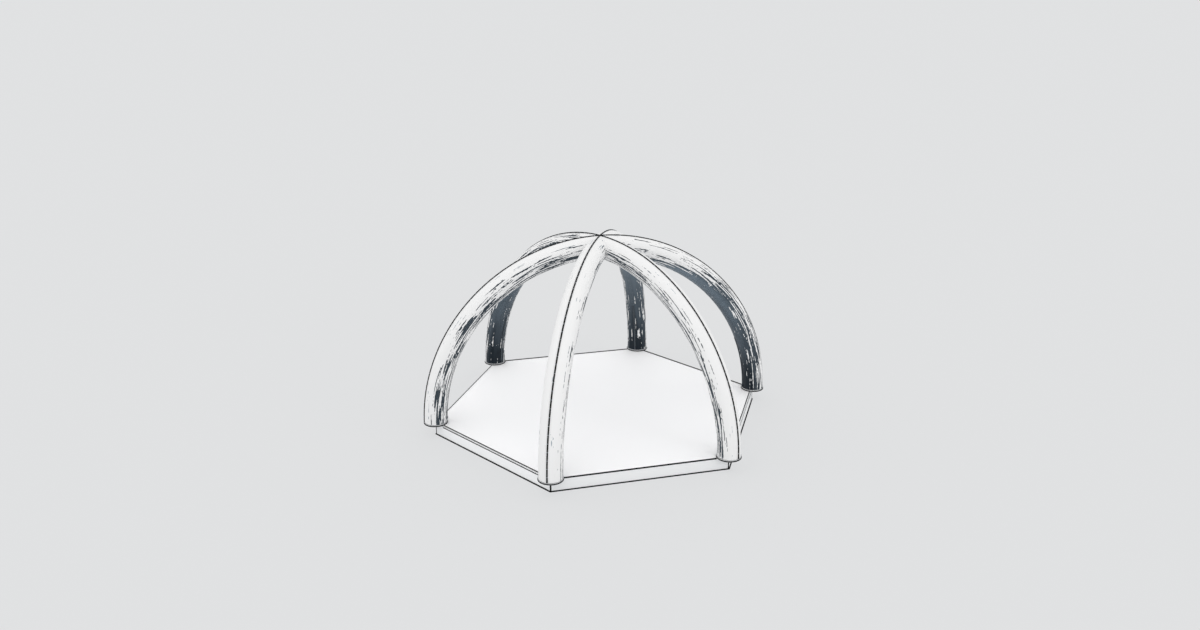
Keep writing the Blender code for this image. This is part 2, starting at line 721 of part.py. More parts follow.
def frame_mesh():
    """Welded rim, beams, corner posts, and a hub with its base plate."""
    carrier = add_object("frame", rim_mesh(), ALUMINIUM)
    post_spot, post_side = ARC_RADIUS - POST_INSET, POST_DIAMETER / 2 - WELD_DEPTH
    inner_beam = beam_mesh(HUB_DIAMETER / 2 - WELD_DEPTH, post_spot - post_side)
    outer_beam = beam_mesh(post_spot + post_side, ARC_RADIUS)
    post = post_mesh()
    for leg in range(SIDES):
        shape(carrier, "UNION", post, post_matrix(leg))
        for beam in (inner_beam, outer_beam):
            shape(carrier, "UNION", beam, Matrix.Rotation(leg * BAY, 4, "Z"))
    hub = cylinder("hub", HUB_DIAMETER, BASE_PLATE_THICKNESS / 2, FRAME_TOP, POST_FACETS)
    shape(carrier, "UNION", hub)
    plate = block("plate", (BASE_PLATE, BASE_PLATE), (0, 0), 0, BASE_PLATE_THICKNESS)
    shape(carrier, "UNION", plate)
    return take_mesh(carrier)


def levelling_foot_mesh():
    """Round pad with a collar, and the spindle that screws up into the post."""
    pad, spindle = PAD_DIAMETER / 2, SPINDLE_DIAMETER / 2
    profile = [(pad, 0), (pad, PAD_RIM), (COLLAR_DIAMETER / 2, PAD_HEIGHT)]
    profile += [(spindle, PAD_HEIGHT), (spindle, PAD_HEIGHT + SPINDLE_LENGTH)]
    return turned("levelling_foot", profile, POST_FACETS)


# Legs, with their origins at the dome centre, on the axis that the zip sliders swing about

sleeve_outer = sleeve_mesh("sleeve_outer", 0)
sleeve_inner = sleeve_mesh("sleeve_inner", math.pi)
spine_piping = piping_mesh()
access_zip = zip_mesh()
zip_slider = slider_mesh()
foot_cup = foot_cup_mesh()
levelling_foot = levelling_foot_mesh()

for leg, leg_name in enumerate(LEG_NAMES):
    place = leg_matrix(leg)
    outer = sleeve_outer.copy() if leg == VALVE_LEG else sleeve_outer
    add_object("sleeve_outer_" + leg_name, outer, WHITE_FABRIC, place)
    add_object("sleeve_inner_" + leg_name, sleeve_inner, DARK_FABRIC, place)
    add_object("spine_piping_" + leg_name, spine_piping, PIPING, place)
    add_object("access_zip_" + leg_name, access_zip, ZIP_NYLON, place)
    add_object("zip_slider_" + leg_name, zip_slider, SLIDER_METAL, place)
    stand = Matrix.Translation(corner(leg) + Vector((0, 0, SEAT_LEVEL)))
    turn = Matrix.Rotation(leg * BAY, 4, "Z")
    add_object("foot_cup_" + leg_name, foot_cup, CUP_PLASTIC, stand @ turn)
    add_object("levelling_foot_" + leg_name, levelling_foot, STEEL, post_matrix(leg))

# Air chamber and valve

seat = valve_frame()
chamber = add_object("air_chamber", bladder_mesh(), FILM, Matrix.Translation(DOME_CENTRE))
for pierced in (chamber, bpy.data.objects["sleeve_outer_" + LEG_NAMES[VALVE_LEG]]):
    hole = NECK_DIAMETER + 2 * NECK_FIT
    tool = cylinder("hole", hole, -NECK_LENGTH / 2, NECK_LENGTH / 2, VALVE_FACETS)
    shape(pierced, "DIFFERENCE", tool, seat)
add_object("inflation_valve_body", valve_body_mesh(), VALVE_PLASTIC, seat)
hinge_line = seat @ Matrix.Translation((0, HINGE_OFFSET, HINGE_LEVEL))
add_object("inflation_valve_cap", valve_cap_mesh(), VALVE_PLASTIC, hinge_line)
add_object("inflation_valve_plunger", valve_plunger_mesh(), VALVE_PLASTIC, seat)

# Podium

fascia = fascia_mesh(DECK_TOP)
low_fascia = fascia_mesh(LEDGE_LOW - SEAT)
edge_rail = edge_rail_mesh()
for side, side_name in enumerate(SIDE_NAMES):
    railed = side in RAIL_SIDES
    board = low_fascia if railed else fascia
    add_object("fascia_" + side_name, board, FASCIA_PAINT, side_matrix(side))
    if railed:
        add_object("edge_rail_" + side_name, edge_rail, RAIL_PAINT, side_matrix(side))
for panel, panel_name in enumerate(("right", "back", "left")):
    add_object("deck_panel_" + panel_name, deck_panel_mesh(panel), PLYWOOD)
add_object("floor_covering", covering_mesh(), COVER_VINYL)
add_object("podium_frame", frame_mesh(), ALUMINIUM)
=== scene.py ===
# %% [markdown]
# # Inflatable dome frame on a podium
# Six arched air tubes stand on the corners of a low hexagonal podium and meet over its middle.
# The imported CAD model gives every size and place. This lesson dresses it: fabric sleeves, welts,
# zips, cups and trims are modelled as meshes, and each surface gets a material made of nodes.

from math import asin, atan2, cos, pi, radians, sin, sqrt, tan, tau
from statistics import NormalDist

import bmesh
import bpy
import numpy as np
from mathutils import Matrix, Vector


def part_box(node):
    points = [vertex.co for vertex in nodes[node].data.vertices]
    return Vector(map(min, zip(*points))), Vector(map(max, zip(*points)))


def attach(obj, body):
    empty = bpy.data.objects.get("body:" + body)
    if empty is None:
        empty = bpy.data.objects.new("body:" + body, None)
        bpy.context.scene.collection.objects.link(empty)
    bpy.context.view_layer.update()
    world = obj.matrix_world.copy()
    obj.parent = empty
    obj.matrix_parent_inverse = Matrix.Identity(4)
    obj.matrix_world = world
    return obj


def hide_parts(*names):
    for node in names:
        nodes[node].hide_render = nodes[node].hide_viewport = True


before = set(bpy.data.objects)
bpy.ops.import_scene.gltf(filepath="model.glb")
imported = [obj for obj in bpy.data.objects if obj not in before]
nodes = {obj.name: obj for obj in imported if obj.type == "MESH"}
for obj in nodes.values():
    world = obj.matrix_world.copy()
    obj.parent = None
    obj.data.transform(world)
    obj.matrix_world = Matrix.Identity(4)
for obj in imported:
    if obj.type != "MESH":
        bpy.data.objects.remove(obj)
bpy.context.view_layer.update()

# %% [markdown]
# ## Sizes read from the frame
# The front leg stands at -Y, so its boxes give the radius of the arch, the thickness of the tube
# and the height of the floor. The other legs are the same leg, turned.

# %% Sizes from the front leg
LEGS = ("front", "right", "back_right", "back", "back_left", "left")
SIDES = ("front_right", "right", "back_right", "back_left", "left", "front_left")
RAILED = ("right", "front_left")
BAY = tau / len(LEGS)
HALF_BAY = BAY / 2

outer_low, outer_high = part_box("sleeve_outer_front")
TUBE = outer_high.x
ARCH = -outer_low.y - TUBE
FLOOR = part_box("floor_covering")[1].z
# Pieces that rest on one another are this far apart in the CAD
SEATED = .0004
cup_low, cup_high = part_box("foot_cup_front")
CUP_CENTRE = -(cup_low.y + cup_high.y) / 2
print(f"arch {ARCH:.3f} m, tube radius {TUBE:.3f} m, floor at {FLOOR:.3f} m")


# %% [markdown]
# ## Colours and nodes
# Colours are written as sRGB hex codes and turned to the linear values that Blender's shaders
# expect. One helper adds a node with its settings and links.

# %% Colour and node helpers
def linear(code):
    """Linear colour of an sRGB hex code."""
    parts = [int(code[i : i + 2], 16) / 255 for i in (1, 3, 5)]
    return (*[c / 12.92 if c <= 0.04045 else ((c + 0.055) / 1.055) ** 2.4 for c in parts], 1)


def add(tree, kind, inputs=(), **settings):
    """Adds a shader node. Its inputs are a row in order, or a dict by number or name. Each is a
    value, a socket or a node whose first output is linked."""
    made = tree.nodes.new("ShaderNode" + kind)
    for name, value in settings.items():
        setattr(made, name, value)
    for name, value in inputs.items() if isinstance(inputs, dict) else enumerate(inputs):
        if isinstance(value, bpy.types.Node):
            value = value.outputs[0]
        if isinstance(value, bpy.types.NodeSocket):
            tree.links.new(value, made.inputs[name])
        else:
            made.inputs[name].default_value = value
    return made


def new_material(name, **values):
    """A material with its Principled shader, whose plain values are set on its own sockets."""
    made = bpy.data.materials.new(name)
    made.use_nodes = True
    shader = made.node_tree.nodes["Principled BSDF"]
    for key, value in values.items():
        shader.inputs[key.replace("_", " ")].default_value = value
    return made, made.node_tree, shader


# %% [markdown]
# ## Sleeve fabric
# The sleeves are PVC-coated polyester: a plain weave under a smooth skin, with a soft gloss. The
# outward half is white and the inward half slate, and a dry-brush print of long dashes joins the
# two. It is noise stretched along the leg, in three layers: streaks, the breaks in them and the
# larger clumps of a worn brush. The print is dark where their sum is above a level, which is kept
# on the mesh's points. The sum is close to a normal distribution, so each level follows from the
# share of dark wanted there. That share differs from leg to leg, so besides the print it paints
# shade and light; and the solid slate is painted lighter upwards, a painted reflection of the
# pale floor.

# %% Dry-brush print
WHITE, GREY_DASH, THREAD = "#E5E5E5", "#8E9AA3", "#8B949B"
# Solid slate turns from the low tone to the high one between two heights: a painted reflection of
# the pale floor
SLATE_LOW, SLATE_HIGH, REFLECTION_HEIGHTS, DASH_FADE = "#0F1A23", "#6A7782", (.4, 3.), .2
NOISE_MEAN, NOISE_SPREAD, LEAST_SHARE = .4995, .104, .003
SOLID_LEVELS, LONE_LEVELS = (.49, .35), (.67, .73)
# Cells of noise across and along the leg per metre, and their detail
STREAKS, BREAKS, CLUMPS = (44, 2.2, 0), (72, 16, 0), (8, 1.2, 1)
BREAKS_SHARE, CLUMPS_SHARE, INK_EDGE, UNEVEN = .25, .2, .004, .5
SEAM_TO_STITCH, STITCH_WIDTH, STITCH_PITCH, STITCH_SHARE = .016, .0018, .007, .62
WEAVE_PITCH, WEAVE_DEPTH, WEAVE_SHARE, STITCH_HEIGHT = .004, .0004, .05, .0006


def brushed_fabric(name, roughness, specular):
    """Coated fabric with the dry-brush print, painted shade and light, and a painted reflection;
    its UV is metres round and along the leg.
    """
    made, tree, shader = new_material(name, Roughness=roughness, Specular_IOR_Level=specular)
    uv = add(tree, "UVMap", uv_map="fabric")
    # The level carries the print and also painted shade and light, which differ by leg
    level = add(tree, "Attribute", attribute_name="print_and_shade_level").outputs["Fac"]
    layers = []
    for across, along, detail in (STREAKS, BREAKS, CLUMPS):
        place = add(tree, "VectorMath", (uv, (across, along, 1)), operation="MULTIPLY")
        layers.append(add(tree, "TexNoise", {"Vector": place, "Scale": 1, "Detail": detail},
                          noise_dimensions="2D"))
    score = layers[0]
    for share, layer in ((BREAKS_SHARE, layers[1]), (CLUMPS_SHARE, layers[2])):
        score = add(tree, "Mix", {0: share, 2: score, 3: layer}, data_type="FLOAT")
    above = add(tree, "Math", (score, level), operation="SUBTRACT")
    ink = add(tree, "MapRange", (above, -INK_EDGE, INK_EDGE), interpolation_type="SMOOTHSTEP")

    # Solid slate is painted deepest at the foot and lighter upwards, a little unevenly: a painted
    # reflection of the pale floor on the inner side, which faces down. Dashes have one tone
    # between the two, and lone ones are thin
    place = add(tree, "TexCoord").outputs["Object"]
    height = add(tree, "SeparateXYZ", (place,)).outputs["Z"]
    uneven = add(tree, "MapRange", {0: layers[2], 3: -UNEVEN, 4: UNEVEN})
    height = add(tree, "Math", (height, uneven), operation="ADD")
    fade, solid, thin = (add(tree, "MapRange", (value, *ends)) for value, ends in (
        (height, REFLECTION_HEIGHTS), (level, SOLID_LEVELS), (level, LONE_LEVELS)))
    fade = add(tree, "Mix", {0: solid, 2: DASH_FADE, 3: fade}, data_type="FLOAT")
    slate = add(tree, "MixRGB", (fade, linear(SLATE_LOW), linear(SLATE_HIGH)))
    inked = add(tree, "MixRGB", (thin, slate, linear(GREY_DASH)))
    colour = add(tree, "MixRGB", (ink, linear(WHITE), inked))

    # Rows of stitches on both sides of each seam; seams are a quarter of the way round apart
    split = add(tree, "SeparateXYZ", (uv,))
    away = add(tree, "Math", (split.outputs[0], pi * TUBE / 4), operation="PINGPONG")
    row = add(tree, "Math", (away, SEAM_TO_STITCH, STITCH_WIDTH / 2), operation="COMPARE")
    step = add(tree, "Math", (split.outputs[1], 1 / STITCH_PITCH), operation="MULTIPLY")
    step = add(tree, "Math", (step,), operation="FRACT")
    sewn = add(tree, "Math", (step, STITCH_SHARE), operation="LESS_THAN")
    stitch = add(tree, "Math", (row, sewn), operation="MULTIPLY")
    colour = add(tree, "MixRGB", (stitch, colour, linear(THREAD)))
    tree.links.new(colour.outputs[0], shader.inputs["Base Color"])

    # The real weave has threads of 1 mm; it is drawn coarser so that it shows from close by
    checks = add(tree, "TexChecker", {"Vector": uv, "Scale": 1 / WEAVE_PITCH})
    bump = add(tree, "Bump", {"Height": checks.outputs[1], "Strength": WEAVE_SHARE,
                              "Distance": WEAVE_DEPTH})
    bump = add(tree, "Bump", {"Height": stitch, "Distance": STITCH_HEIGHT, "Normal": bump})
    tree.links.new(bump.outputs[0], shader.inputs["Normal"])
    return made


white_fabric = brushed_fabric("pvc_coated_polyester_white", .5, .22)
slate_fabric = brushed_fabric("pvc_coated_polyester_slate", .38, .2)

# %% [markdown]
# ## Other finishes
# Each starts from the real material: a woven polyester welt, moulded polypropylene cups, film of
# thermoplastic polyurethane, extruded aluminium, birch plywood, painted board, vinyl flooring.

# %% Plain finishes with grain
GLOSS_VARIES, GRAIN_SHARE, GRAIN_DETAIL = .06, .3, 5


def grained(name, code, roughness, scale, spread=.05, depth=.0002, grain=(1, 1, 1), metallic=0.,
            specular=.5):
    """A finish that varies a little with noise of that many cycles a metre."""
    made, tree, shader = new_material(name, Metallic=metallic, Specular_IOR_Level=specular)
    place = add(tree, "TexCoord").outputs["Object"]
    place = add(tree, "VectorMath", (place, grain), operation="MULTIPLY")
    noise = add(tree, "TexNoise", {"Vector": place, "Scale": scale, "Detail": GRAIN_DETAIL})
    dark, light = ((*[min(1, c * (1 + part)) for c in linear(code)[:3]], 1)
                   for part in (-spread, spread))
    colour = add(tree, "MixRGB", (noise, dark, light))
    rough = add(tree, "MapRange", {0: noise, 3: roughness - GLOSS_VARIES,
                                   4: roughness + GLOSS_VARIES})
    bump = add(tree, "Bump", {"Height": noise, "Strength": GRAIN_SHARE, "Distance": depth})
    for output, socket in ((colour, "Base Color"), (rough, "Roughness"), (bump, "Normal")):
        tree.links.new(output.outputs[0], shader.inputs[socket])
    return made


welt_fabric = grained("woven_polyester_welt_black", "#060708", .6, 900, specular=.25)
trim_pvc = grained("pvc_edge_trim_charcoal", "#08090B", .55, 300, specular=.25)
cup_plastic = grained("moulded_polypropylene_pale", "#E4E6E8", .5, 400)
film = grained("polyurethane_film_clear_grey", "#C9D2D6", .35, 120)
zip_nylon = grained("nylon_zip_tape_slate", "#1D242B", .7, 700)
teeth_nylon = grained("moulded_nylon_teeth_grey", "#6B757D", .4, 900)
gunmetal = grained("die_cast_zinc_gunmetal", "#5A6169", .35, 500, metallic=1.)
valve_abs = grained("abs_valve_charcoal", "#3B444C", .45, 600)
vinyl = grained("vinyl_flooring_white", "#FAFAFB", .6, 60, spread=.012)
rail_paint = grained("powder_coated_aluminium_pale", "#F0F1F2", .45, 900, spread=.01)
board_paint = grained("painted_board_pale_grey", "#E6E7E8", .55, 90, spread=.01)
plywood = grained("birch_plywood", "#C7A77B", .65, 40, spread=.2, grain=(1, 12, 12))
aluminium = grained("extruded_aluminium", "#B8BCC0", .38, 60, metallic=1., grain=(1, 1, 8))
steel = grained("zinc_plated_steel", "#A4A8AC", .33, 300, metallic=1.)
print("materials", len(bpy.data.materials))

# %% [markdown]
# ## The shape of a leg
# A leg is a round tube bent to a quarter circle about the middle of the floor. A point of it is
# given by the angle round the tube (0 on the outer spine, 90 degrees at the side seams), the angle
# along the arch (0 at the foot, 90 degrees at the crown) and the distance from the tube's middle
# line. Tubes stop on the upright planes half-way to their neighbours.

# %% Points of a leg
COLUMNS, ROWS, FILM_AROUND = 32, 150, 48
CUT_LEVEL = outer_low.z - FLOOR
MITRE_GAP = .0003


def arch_end(x, reach, gap=MITRE_GAP):
    """Angle along the arch at which a line that far to the side meets the mitre plane."""
    side = np.abs(x) + gap / cos(HALF_BAY)
    return np.arccos(np.clip(side / (reach * tan(HALF_BAY)), 0, 1))


def leg_points(x, reach, along, low=CUT_LEVEL, gap=MITRE_GAP):
    """Points in the front leg's frame at shares of the lines with that side and reach."""
    first = np.arcsin(low / reach)
    angle = first + along * (arch_end(x, reach, gap) - first)
    x = np.broadcast_to(x, angle.shape)
    return np.stack([x, -reach * np.cos(angle), FLOOR + reach * np.sin(angle)], axis=-1), angle


def leg_turn(leg):
    return Matrix.Rotation(leg * BAY, 4, "Z")


print("crown at", round(FLOOR + ARCH + TUBE, 3), "m")


# %% [markdown]
# ## Where the valve sits
# The inflation valve is clamped to the back leg by a round flange, and a stiff patch keeps the
# cloth flat under it. The valve's place is read from its plunger, which is round about its axis,
# and the cloth near it is pressed onto the plane that the flange lies on.

# %% Valve seat
VALVE_LEG, VALVE_NECK = LEGS.index("back"), .024
PATCH_FLAT, PATCH_END = .048, .12


def node_points(name):
    return np.unique(np.round([v.co for v in nodes[name].data.vertices], 6), axis=0)


plunger = node_points("inflation_valve_plunger")
valve_middle = plunger.mean(axis=0)
rise = atan2(valve_middle[2] - FLOOR, valve_middle[1])
outwards = valve_middle - (0, ARCH * cos(rise), FLOOR + ARCH * sin(rise))
main_axes = np.linalg.eigh(np.cov((plunger - valve_middle).T))[1].T
valve_axis = max(main_axes, key=lambda axis: abs(axis @ outwards))
valve_axis = Vector(valve_axis * np.sign(valve_axis @ outwards))
depths = (node_points("inflation_valve_body") - valve_middle) @ np.array(valve_axis)
valve_spot = Vector(valve_middle) + valve_axis * (depths.min() + VALVE_NECK)
valve_up = Vector((0, -sin(rise), cos(rise)))
valve_up = (valve_up - valve_axis * valve_up.dot(valve_axis)).normalized()
VALVE_SEAT = Matrix((valve_up.cross(valve_axis), valve_up, valve_axis)).transposed().to_4x4()
VALVE_SEAT.translation = valve_spot


def press_flat(points, below):
    """Presses points of the front leg's frame near the valve to that far below its seat."""
    spot, axis = (np.array(leg_turn(-VALVE_LEG) @ v) for v in (valve_spot, valve_axis))
    height = (points - spot) @ axis
    across = np.linalg.norm(points - spot - height[..., None] * axis, axis=-1)
    near = np.clip((PATCH_END - across) / (PATCH_END - PATCH_FLAT), 0, 1)
    near = np.where(height > -TUBE / 2, near * near * (3 - 2 * near), 0)
    return points - (near * (height + below))[..., None] * axis


print("valve seat at", [round(v, 3) for v in valve_spot])

# %% [markdown]
# ## Meshes from grids
# Sleeves are sheets with a thickness, so each is built as two grids of points, an outside and an
# inside, joined round the rim. That keeps the cut at the crown exactly on the mitre plane.

# %% Shell and solid helpers
SMOOTH_UP_TO = radians(40)


def in_scene(name, data):
    """A new object, linked to the scene."""
    made = bpy.data.objects.new(name, data)
    bpy.context.scene.collection.objects.link(made)
    return made


def add_piece(mesh, material, replaces=(), body="frame"):
    """Makes a mesh a piece of that name on its body."""
    piece = in_scene(mesh.name, mesh)
    mesh.materials.append(material)
    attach(piece, body)
    if replaces:
        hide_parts(*replaces)
    return piece


def grid_faces(number, closed=(0, 0)):
    """Faces of a grid of numbered points, which can close on itself in either direction."""
    n = np.pad(number, [(0, c) for c in closed], "wrap")
    return np.stack([n[:-1, :-1], n[1:, :-1], n[1:, 1:], n[:-1, 1:]], -1).reshape(-1, 4).tolist()


def mesh_from(name, points, faces, uv=None, turn=None, merge=0):
    """A closed, smooth-shaded mesh; uv is one pair per point."""
    mesh = bpy.data.meshes.new(name)
    mesh.from_pydata([tuple(p) for p in points], [], faces)
    if uv is not None:
        layer = mesh.uv_layers.new(name="fabric")
        corner = np.empty(len(mesh.loops), np.int32)
        mesh.loops.foreach_get("vertex_index", corner)
        layer.data.foreach_set("uv", np.asarray(uv, np.float32)[corner].ravel())
    bm = bmesh.new()
    bm.from_mesh(mesh)
    if merge:
        bmesh.ops.remove_doubles(bm, verts=bm.verts, dist=merge)
        bmesh.ops.dissolve_degenerate(bm, dist=1e-6, edges=bm.edges)
    bmesh.ops.recalc_face_normals(bm, faces=bm.faces)
    bm.to_mesh(mesh)
    bm.free()
    if turn is not None:
        mesh.transform(turn)
    mesh.shade_smooth()
    mesh.set_sharp_from_angle(angle=SMOOTH_UP_TO)
    return mesh


def shell_mesh(name, outside, inside, uv, turn):
    """A closed sheet between two grids of points, columns by rows."""
    shift = outside[..., 0].size
    number = np.arange(shift).reshape(outside.shape[:2])
    rim = [*number[:, 0], *number[-1, 1:], *number[-2::-1, -1], *number[0, -2:0:-1]]
    faces = grid_faces(number) + grid_faces(number[:, ::-1] + shift)
    faces += [(b, a, a + shift, b + shift) for a, b in zip(rim, rim[1:] + rim[:1])]
    points = np.concatenate([outside.reshape(-1, 3), inside.reshape(-1, 3)])
    return mesh_from(name, points, faces, [*uv.reshape(-1, 2)] * 2, turn)


def bar_between(name, first, last, turn=None):
    """A closed bar between two rings of points."""
    number = np.arange(2 * len(first)).reshape(2, -1)
    faces = number.tolist() + grid_faces(number.T, (1, 0))
    return mesh_from(name, [*first, *last], faces, turn=turn)


def bar_across(name, outline, low, high, place):
    """A bar along the local X axis; the outline is (Y, Z) pairs."""
    return bar_between(name, *([(x, y, z) for y, z in outline] for x in (low, high)), place)


def oblong(left, low, right, high):
    """Corners of an upright rectangle, as (side or radius, height) pairs."""
    return [(left, low), (right, low), (right, high), (left, high)]


def plate_mesh(name, outline, low, high):
    """A flat plate whose outline is given in plan."""
    return bar_between(name, *([(*p, z) for p in outline] for z in (low, high)))


def joined(name, meshes):
    """One mesh made of several, which are used up."""
    bm = bmesh.new()
    for mesh in meshes:
        bm.from_mesh(mesh)
        bpy.data.meshes.remove(mesh)
    mesh = bpy.data.meshes.new(name)
    bm.to_mesh(mesh)
    bm.free()
    return mesh


# %% [markdown]
# ## Sleeves
# The air chamber presses each sleeve round, so the cloth is smooth and tight. Three things break
# the smoothness: the fabric draws in at the sewn seams and puckers there, it gathers in small
# upright pleats where the cup holds its hem, and it creases across the leg on the inner, shorter
# side. All are real moves of the mesh's points, a few millimetres deep.

# %% Sleeve shapes
SLEEVE_WALL, SEAM_GAP = .002, .0006
SEAM_DIP, SEAM_WIDTH, PUCKER, PUCKER_PITCH = .0022, .022, .0007, .07
PLEAT, PLEAT_HEIGHT, PLEATS = .0014, .10, 17
CREASE, CREASE_PITCH = .0012, .16
# Metres between the legs' places in the print, so that their strokes differ
PRINT_SHIFT = 11.3


def draw_in(turn, arc, seed):
    """How far the cloth lies inside the round form, in metres."""
    random = np.random.default_rng(seed)
    phase = random.uniform(0, tau, 12)
    depth = np.zeros(np.broadcast(turn, arc).shape)
    for seam in (0, pi / 2, -pi / 2, pi):
        away = TUBE * np.abs((turn - seam + pi) % tau - pi)
        near = np.exp(-((away / SEAM_WIDTH) ** 2))
        wave = np.sin(arc * tau / PUCKER_PITCH + phase[0] + 2 * np.sin(arc * 5 + phase[1]))
        depth += near * (SEAM_DIP + PUCKER * wave)
    pleats = np.sin(turn * PLEATS + phase[2]) * np.sin(turn * 5 + phase[3])
    depth += PLEAT * (1 + pleats) * np.exp(-((arc / PLEAT_HEIGHT) ** 2))
    inner = np.clip(-np.cos(turn), 0, 1) ** 2
    crease = np.sin(arc * tau / CREASE_PITCH + phase[4] + 1.5 * np.sin(arc * 3 + phase[5]))
    crease *= np.sin(arc * 7 + phase[6] + turn)
    return depth + inner * CREASE * (1 + crease)


# Shares of dark by the angle round the tube, on the right and the left flank of each leg. They
# differ from leg to leg, so they paint shade and light as well as the print
TURNS = (0, 30, 45, 60, 75, 90, 105, 120, 135, 150, 165, 180)
DARK_SHARES = {
    "front": ((.01, .015, .02, .06, .13, .2, .35, .5, .5, .6, .8, .95),
              (.01, .01, .01, .02, .03, .05, .1, .2, .4, .6, .8, .95)),
    "right": ((.005, .01, .02, .06, .2, .4, .5, .5, .4, .4, .6, .9),
              (.005, .01, .02, .09, .28, .45, .5, .45, .25, .3, .6, .9)),
    "back_right": ((.1, .3, .35, .4, .5, .6, .8, .9, .95, .97, .985, .985),
                   (.15, .45, .45, .6, .75, .75, .88, .97, .985, .985, .985, .985)),
    "back": ((.01, .02, .03, .06, .12, .25, .5, .6, .75, .97, .99, .995),
             (.01, .02, .03, .1, .2, .45, .85, .88, .93, .96, .985, .995)),
    "back_left": ((.15, .25, .25, .3, .65, .9, .95, .985, .985, .98, .98, .97),
                  (.15, .2, .25, .3, .4, .4, .4, .45, .5, .6, .85, .97)),
    "left": ((.005, .01, .02, .06, .3, .5, .5, .57, .5, .35, .6, .9),
             (.005, .01, .02, .06, .2, .4, .5, .5, .4, .4, .6, .9)),
}
# On the back right leg the dark thins out towards the crown, first on the outside: painted light
FADE_TURNS, FADE_START, FADE_AMOUNT = (0, 80, 110, 180), (38, 40, 55, 70), (.85, .75, .4, .3)
FADE_RUN = 18


def print_and_shade_level(turn, angle, leg):
    """The noise level above which the sleeve is dark, from the share of dark wanted there; that
    share holds the print and painted shade and light.
    """
    side = (turn + pi) % tau - pi
    away = np.degrees(np.abs(side))
    right, left = (np.interp(away, TURNS, shares) for shares in DARK_SHARES[LEGS[leg]])
    share = np.broadcast_to(np.where(side > 0, right, left), angle.shape)
    if LEGS[leg] == "back_right":
        start, amount = (np.interp(away, FADE_TURNS, v) for v in (FADE_START, FADE_AMOUNT))
        fade = np.clip((np.degrees(angle) - start) / FADE_RUN, 0, 1)
        share = share * (1 - amount * fade * fade * (3 - 2 * fade))
    normal = NormalDist(NOISE_MEAN, NOISE_SPREAD)
    steps = np.linspace(LEAST_SHARE, 1 - LEAST_SHARE, 200)
    return np.interp(1 - share, steps, [normal.inv_cdf(v) for v in steps])


def sleeve_mesh(name, first, last, leg):
    """Half a sleeve, between two angles round the tube."""
    finer = 2 if leg == VALVE_LEG else 1
    turn = np.linspace(first, last, COLUMNS * finer + 1)[:, None]
    along = np.linspace(0, 1, ROWS * finer + 1)[None, :]
    angle = leg_points(TUBE * np.sin(turn), ARCH + TUBE * np.cos(turn), along)[1]
    arc = angle * ARCH
    grids = []
    for wall in (0, SLEEVE_WALL):
        radius = TUBE - draw_in(turn, arc, leg) - wall
        grid = leg_points(radius * np.sin(turn), ARCH + radius * np.cos(turn), along)[0]
        grids.append(press_flat(grid, wall) if leg == VALVE_LEG else grid)
    uv = np.stack([TUBE * np.broadcast_to(turn, arc.shape), arc + leg * PRINT_SHIFT], axis=-1)
    mesh = shell_mesh(name, *grids, uv, leg_turn(leg))
    # Dark levels of the print, with painted shade and light that differ by leg
    level = print_and_shade_level(turn, angle, leg).astype(np.float32).ravel()
    attribute = mesh.attributes.new("print_and_shade_level", "FLOAT", "POINT")
    attribute.data.foreach_set("value", np.concatenate([level, level]))
    return mesh


quarter = pi / 2
half_gap = SEAM_GAP / 2 / TUBE
panels = {
    "outer": (-quarter + half_gap, quarter - half_gap, white_fabric, "white_coated_fabric"),
    "inner": (quarter + half_gap, 3 * quarter - half_gap, slate_fabric, "slate_coated_fabric"),
}
for leg, leg_name in enumerate(LEGS):
    for half, (first, last, cloth, slot) in panels.items():
        name = f"sleeve_{half}_{leg_name}"
        mesh = sleeve_mesh(name + "_cloth", first, last, leg)
        piece = add_piece(mesh, cloth, [name])

# %% [markdown]
# ## Air chamber
# Inside the sleeves is one star of welded film. It can't be seen, but it fills the sleeves: the
# same smooth tubes, a little smaller, welded to each other at the crown.

# %% Air chamber
FILM_INSET, FILM_BELOW, FILM_WELD = .0075, .004, .0008
FILM_RADIUS = TUBE - FILM_INSET
film_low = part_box("air_chamber")[0].z - FLOOR


def star_mesh(name):
    turn = np.linspace(0, tau, FILM_AROUND, endpoint=False)[:, None]
    x, reach = FILM_RADIUS * np.sin(turn), ARCH + FILM_RADIUS * np.cos(turn)
    points, faces = [], []
    for leg in range(len(LEGS)):
        rows = 240 if leg == VALVE_LEG else 70
        grid = leg_points(x, reach, np.linspace(0, 1, rows)[None, :], film_low, 0)[0]
        if leg == VALVE_LEG:
            grid = press_flat(grid, FILM_BELOW)
        number = len(points) + np.arange(FILM_AROUND * rows).reshape(-1, rows)
        faces += grid_faces(number, (1, 0)) + [number[:, 0].tolist()]
        spin = leg_turn(leg)
        points += [spin @ Vector(p) for p in grid.reshape(-1, 3)]
    return mesh_from(name, points, faces, merge=FILM_WELD)


air_chamber = add_piece(star_mesh("air_chamber_film"), film, ["air_chamber"])
print("air chamber faces", len(air_chamber.data.polygons))

# %% [markdown]
# ## Welts and zips
# A welt of black piping covers the seam along each outer spine. It is a section swept along the
# arch. The access zip at the foot of the inner spine has a tape made the same way and separate
# teeth that interlock.

# %% Sections swept along a leg
welt_low, welt_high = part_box("spine_piping_front")
RIM_LEVEL = welt_low.z - FLOOR
WELT_RISE, EDGE, CORD_SHARE = .007, .0024, .8
WELT_WIDTH, WELT_TOP = welt_high.x - welt_low.x, -welt_low.y + WELT_RISE
WELT_BED = ARCH + TUBE + SEATED


